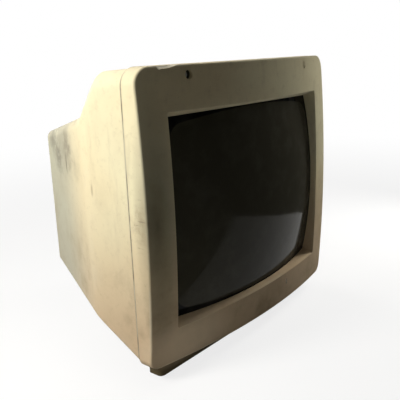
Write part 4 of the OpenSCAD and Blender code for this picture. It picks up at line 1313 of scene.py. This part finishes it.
def rubbery(name, colour, rough=0.75):
    f = Finish(name, Roughness=rough, Specular_IOR_Level=0.12)
    bloom = f.noise(90.0, 4.0).between(0.45, 0.8)
    return f.feed(Base_Color=f.mix(bloom * 0.25, colour, (0.22, 0.21, 0.20)),
                  Roughness=rough + bloom * 0.12,
                  Normal=f.bump(f.noise(1200.0, 2.0), 0.3, 0.0001))


def wound(name, colour):
    f = Finish(name, Roughness=0.32, Metallic=0.6)
    bands = {"wave_type": "BANDS", "bands_direction": "Y"}
    turns = f.node("ShaderNodeTexWave", bands, {"Vector": f.coords, "Scale": 260.0,
                                                "Distortion": 0.6, "Detail": 1.0}, output="Fac")
    return f.feed(Base_Color=f.mix(turns, shaded(colour, 0.45), colour),
                  Roughness=0.32 + turns * 0.1, Normal=f.bump(turns, 0.6, 0.0004))


def circuit(name):
    f = Finish(name, Roughness=0.35)
    cells = {"feature": "DISTANCE_TO_EDGE", "distance": "EUCLIDEAN"}
    tracks = f.node("ShaderNodeTexVoronoi", cells, {"Vector": f.coords, "Scale": 160.0},
                    output="Distance").between(0.06, 0.10)
    return f.feed(Base_Color=f.mix(tracks, (0.09, 0.30, 0.13), (0.03, 0.13, 0.055)),
                  Roughness=0.3 + tracks * 0.12, Normal=f.bump(tracks, 0.3, 0.0001))


print("families:", [family.__name__ for family in (moulded, metal, rubbery, wound, circuit)])

# %% Every solid gets its finish
CONTROL = moulded("control_plastic", (0.56, 0.50, 0.36))
DRESSED = [
    (CASE, ["screw_hole_plug"]),
    (rubbery("foot_rubber", (0.022, 0.021, 0.020)), ["rubber_feet"]),
    (metal("zinc_plated_steel", (0.60, 0.60, 0.57)),
     ["bezel_screws", "cover_screws", "base_screws", "crt_screws", "crt_screw_washers",
      "board_screws", "inlet_screws", "inlet_nuts", "shadow_mask", "tension_band", "yoke_clamp"]),
    (metal("nickel_plate", (0.56, 0.54, 0.50)),
     ["electron_gun", "tube_base_pins", "mains_fuse", "inlet_pins", "video_socket",
      "socket_nuts"]),
    (metal("aluminium", (0.72, 0.72, 0.73), 0.35), ["video_amplifiers", "heatsink"]),
    (moulded("graphite_coat", (0.06, 0.06, 0.065), 0.6), ["crt_funnel"]),
    (wound("copper_windings", (0.60, 0.26, 0.10)), ["deflection_coils", "mains_choke"]),
    (moulded("ferrite", (0.09, 0.09, 0.10), 0.7), ["yoke_core"]),
    (moulded("white_plastic", (0.78, 0.76, 0.70)), ["convergence_rings", "crt_socket"]),
    (rubbery("black_tape", (0.03, 0.03, 0.03), 0.5), ["degaussing_coil"]),
    (circuit("circuit_board"), ["neck_board", "main_board", "control_board"]),
    (rubbery("anode_rubber", (0.18, 0.06, 0.045)), ["anode_cap"]),
    (rubbery("red_insulation", (0.50, 0.05, 0.035), 0.45), ["anode_lead"]),
    (moulded("black_plastic", (0.03, 0.03, 0.032), 0.4),
     ["flyback_transformer", "power_transistors", "power_switch", "mains_inlet",
      "video_socket_insert"]),
    (moulded("transformer_varnish", (0.46, 0.34, 0.12), 0.3), ["power_transformer"]),
    (moulded("capacitor_sleeve", (0.04, 0.07, 0.20), 0.25),
     ["mains_capacitor", "small_capacitors"]),
    (moulded("blue_plastic", (0.07, 0.19, 0.50), 0.4), ["front_adjusters", "rear_adjusters"]),
    (moulded("light_lens", (0.26, 0.22, 0.13), 0.25), ["power_led"]),
]
for finish, users in DRESSED:
    for user in users:
        dress(nodes[user], finish)
for obj in bpy.data.objects:
    if obj.type == "MESH" and obj.name.endswith(("_ribbed", "_cap")) and obj.name not in nodes:
        dress(obj, CONTROL)
for obj, finish in ((bezel, CASE), (cover, CASE), (base, BASE_CASE), (tube_face, GLASS)):
    dress(obj, finish)
print("solids dressed:", sum(len(users) for _, users in DRESSED))

# %% [markdown]
# ## Stage and light
#
# The object stands on a pale floor against white. The photograph's light comes from the left and a
# little behind, so the side is bright and the front lies in its own shade, with a weak glow from
# the right. Near the object the floor's colour is partly its own shaded paint, so that a soft
# shadow shows; farther off it is pure white. A dark card lies on the floor in front and to the
# right, and turns up into walls far out. It shows only in reflections, where it gives the glass
# the dark upper half that the room gives it in the photograph.

# %% Floor
FLOOR_REACH, NEAR_GLOW, NEAR, FAR = 6, 0.80, 0.35, 1.7
FLOOR_SHADE, FLOOR_SEEN = (0.30, 0.30, 0.30), (0.92, 0.92, 0.92)


def pale_ray_share(tree):
    """1 for what the camera sees directly, in a reflection or through glass; 0 for the light."""
    path = tree.nodes.new("ShaderNodeLightPath")
    total = path.outputs["Is Camera Ray"]
    for label in ("Is Glossy Ray", "Is Transmission Ray"):
        adder = tree.nodes.new("ShaderNodeMath")
        adder.operation, adder.use_clamp = "ADD", True
        tree.links.new(total, adder.inputs[0])
        tree.links.new(path.outputs[label], adder.inputs[1])
        total = adder.outputs[0]
    return total


floor_mesh = bpy.data.meshes.new("floor")
floor_corners = [(x * FLOOR_REACH, y * FLOOR_REACH, 0)
                 for x, y in ((-1, -1), (1, -1), (1, 1), (-1, 1))]
floor_mesh.from_pydata(floor_corners, [], [(0, 1, 2, 3)])
floor = thing("floor", floor_mesh)
paint = Finish("floor_paint", Roughness=1.0, Specular_IOR_Level=0.0)
seen_by_eye = Wire(paint, pale_ray_share(paint.tree))
far_out = paint.node("ShaderNodeVectorMath", {"operation": "LENGTH"}, {0: paint.coords},
                     output="Value")
paint.feed(Base_Color=paint.mix(seen_by_eye, FLOOR_SHADE, FLOOR_SEEN))
glow_share = seen_by_eye * (NEAR_GLOW + (1 - NEAR_GLOW) * far_out.between(NEAR, FAR))
glow = paint.node("ShaderNodeEmission")
shaded_paint = Wire(paint, paint.shader.outputs[0])
floor_look = paint.node("ShaderNodeMixShader", None, {0: glow_share, 1: shaded_paint, 2: glow})
paint.tree.links.new(floor_look.socket, paint.tree.nodes["Material Output"].inputs[0])
floor_mesh.materials.append(paint.material)
print("the floor is white from", FAR, "m on")

# %% Surroundings
ROOM_LIGHT, ROOM_COLOUR = 0.032, (0.98, 0.95, 0.83, 1)

world = bpy.data.worlds.new("surroundings")
bpy.context.scene.world = world
world.use_nodes = True
tree = world.node_tree
room, white = tree.nodes["Background"], tree.nodes.new("ShaderNodeBackground")
room.inputs["Color"].default_value, room.inputs["Strength"].default_value = ROOM_COLOUR, ROOM_LIGHT
white.inputs["Color"].default_value = (1, 1, 1, 1)
sky = tree.nodes.new("ShaderNodeMixShader")
for i, source in enumerate((pale_ray_share(tree), room.outputs[0], white.outputs[0])):
    tree.links.new(source, sky.inputs[i])
tree.links.new(sky.outputs[0], tree.nodes["World Output"].inputs[0])
print("light from the surroundings:", ROOM_LIGHT)


# %% Lamps
def lamp(name, place, target, size, power, colour):
    """A rectangular lamp that the camera doesn't see."""
    data = bpy.data.lights.new(name, "AREA")
    data.shape, data.size, data.size_y = "RECTANGLE", *size
    data.energy, data.color = power, colour
    made = bpy.data.objects.new(name, data)
    made.location = place
    made.rotation_euler = (Vector(target) - Vector(place)).to_track_quat("-Z", "Y").to_euler()
    made.visible_camera = False
    bpy.context.scene.collection.objects.link(made)
    return made


MIDDLE = (0, 0, 0.16)
window_light = lamp("window_light", (-0.72, 0.08, 0.56), (-0.17, -0.07, 0.20), (0.20, 0.34), 6.6,
                    (1.0, 0.97, 0.91))
lamp("back_light", (0.5, 1.7, 1.3), MIDDLE, (1.2, 1.0), 16, (1.0, 0.98, 0.95))
lamp("ceiling_light", (0.1, -0.35, 1.7), MIDDLE, (1.4, 1.0), 1.4, (1.0, 0.93, 0.84))
glow_lamp = lamp("right_glow", (0.64, -0.21, 0.36), (0.15, -0.16, 0.2), (0.12, 0.3), 2.9,
                 (1.0, 0.98, 0.92))
table_glow = lamp("table_glow", (-0.18, -0.30, 0.07), (-0.15, -0.16, 0.05), (0.08, 0.04), 0.013,
                  (1.0, 0.97, 0.88))
# In reflections the window light would glare on the roof and the right side, and the right glow
# would show as a bright patch in the glass. The table glow is hidden with them.
for unseen in (window_light, glow_lamp, table_glow):
    unseen.visible_glossy = False
print("lamps:", len(bpy.data.lights))

# %% Dark card
CARD_HEIGHT, CARD_LIFT, CARD_BLACK = 9.0, 0.001, (0.02, 0.02, 0.02, 1)
CARD_PLAN = [(-0.15, -0.19), (0.29, -0.55), (0.47, -0.22), (0.50, -0.06), (7, 3), (7, -14),
             (-1, -14)]

card_places = [(x, y, CARD_LIFT) for x, y in CARD_PLAN]
card_places += [(x, y, CARD_HEIGHT) for x, y in CARD_PLAN[-3:]]
card_mesh = bpy.data.meshes.new("dark_card")
card_mesh.from_pydata(card_places, [], [tuple(range(7)), (4, 5, 8, 7), (5, 6, 9, 8)])
card = thing("dark_card", card_mesh)
card_paint = bpy.data.materials.new("card_paint")
card_paint.use_nodes = True
card_paint.node_tree.nodes["Principled BSDF"].inputs["Base Color"].default_value = CARD_BLACK
card_mesh.materials.append(card_paint)
card.visible_camera = card.visible_diffuse = False
card.visible_shadow = card.visible_transmission = False
bpy.context.scene.view_settings.view_transform = "Standard"
print("card points:", len(card_places))

# %% [markdown]
# ## How far things show from their image points
#
# The last step measures the finished meshes. The outer limits come from every point of the mesh
# that the camera can see. A corner is the middle of the points close to it, a seam is read at the
# height of its image point, and the distances are printed. Nothing depends on them.

# %% Places that show
ROUND_TOP, ROUND_LOW, SHOWS_BY = 5.3, 3.5, 0.0006
LIMITS = (("left", 0, min), ("right", 0, max), ("top", 1, min), ("bottom", 1, max))

visible_pieces = [obj for obj in bpy.data.objects
                  if obj.type == "MESH" and obj not in (floor, card) and not obj.hide_render]
everything = carrier_tree(*visible_pieces)


def showing(obj, chosen):
    """Image places of the chosen vertices of an object that nothing hides from the camera."""
    found = []
    for v in obj.data.vertices:
        if chosen is None or chosen(*in_case(v.co)):
            to_it = v.co - CAMERA_PLACE
            met = everything.ray_cast(CAMERA_PLACE, to_it.normalized())[3]
            if met is None or met > to_it.length - SHOWS_BY:
                found.append(seen(v.co))
    return found


def near(place, reach):
    return lambda *v: math.dist(v, place) < reach


def on_front(x, z, reach=2.6):
    return near((x, crown(x, z), z), reach)


def seam_edge(x, y, _):
    """Whether a place lies on the lip of the bezel's rear edge, on the left side."""
    return -HALF_W < x < 0 and abs(y - SEAM_Y + 0.2) < 0.3


CORNERS = {
    "front_corner_top": (bezel, on_front(ROUND_TOP - HALF_W, CASE_H - ROUND_TOP, 4)),
    "front_corner_low": (bezel, on_front(ROUND_LOW - HALF_W, ROUND_LOW, 4)),
    "opening_top_left": (bezel, on_front(-VIEW_W / 2, VIEW_LOW + VIEW_H)),
    "opening_low_left": (bezel, on_front(-VIEW_W / 2, VIEW_LOW)),
    "opening_top_right": (bezel, on_front(VIEW_W / 2, VIEW_LOW + VIEW_H)),
    "opening_low_right": (bezel, on_front(VIEW_W / 2, VIEW_LOW)),
    "screw_recess": (bezel, on_front(-SCREW_X, SCREW_Z, RECESS_R + 0.3)),
    "power_light": (bezel, on_front(LIGHT_X, LIGHT_Z, 4.2)),
    "rear_edge_top": (cover, near((-122.0, POD_Y - 0.6, 232.2), 4)),
    "lip_end": (base, near((-164.5, 0.8, BASE_Z + 0.5), 4)),
    "edge_chip": (bezel, in_chip),
}
print("pieces that show:", len(visible_pieces))

# %% Distances from the image points
away = {}
outside = [place for obj in (bezel, cover, base, tube_face) for place in showing(obj, None)]
for name, axis, pick in LIMITS:
    off = pick(place[axis] for place in outside) - POINTS[name][axis]
    away[name] = [round(off, 2), None] if axis == 0 else [None, round(off, 2)]
for name, (obj, chosen) in CORNERS.items():
    places = showing(obj, chosen)
    middle = [(min(axis) + max(axis)) / 2 for axis in zip(*places)] or (math.nan, math.nan)
    away[name] = [round(m - p, 2) for m, p in zip(middle, POINTS[name])]
seam_line = sorted(showing(bezel, seam_edge), key=lambda place: place[1])
for name in ("seam_high", "seam_low"):
    x, y = POINTS[name]
    pairs = [(a, b) for a, b in zip(seam_line, seam_line[1:]) if a[1] <= y < b[1]]
    (ax, ay), (bx, by) = pairs[0] if pairs else (seam_line[0], seam_line[-1])
    away[name] = [round(ax + (bx - ax) * (y - ay) / max(by - ay, 1e-6) - x, 2), 0.0]
for name, place in marks.items():
    away[name] = [round(m - p, 2) for m, p in zip(seen(place), POINTS[name])]
for name, off in away.items():
    print(name, off)
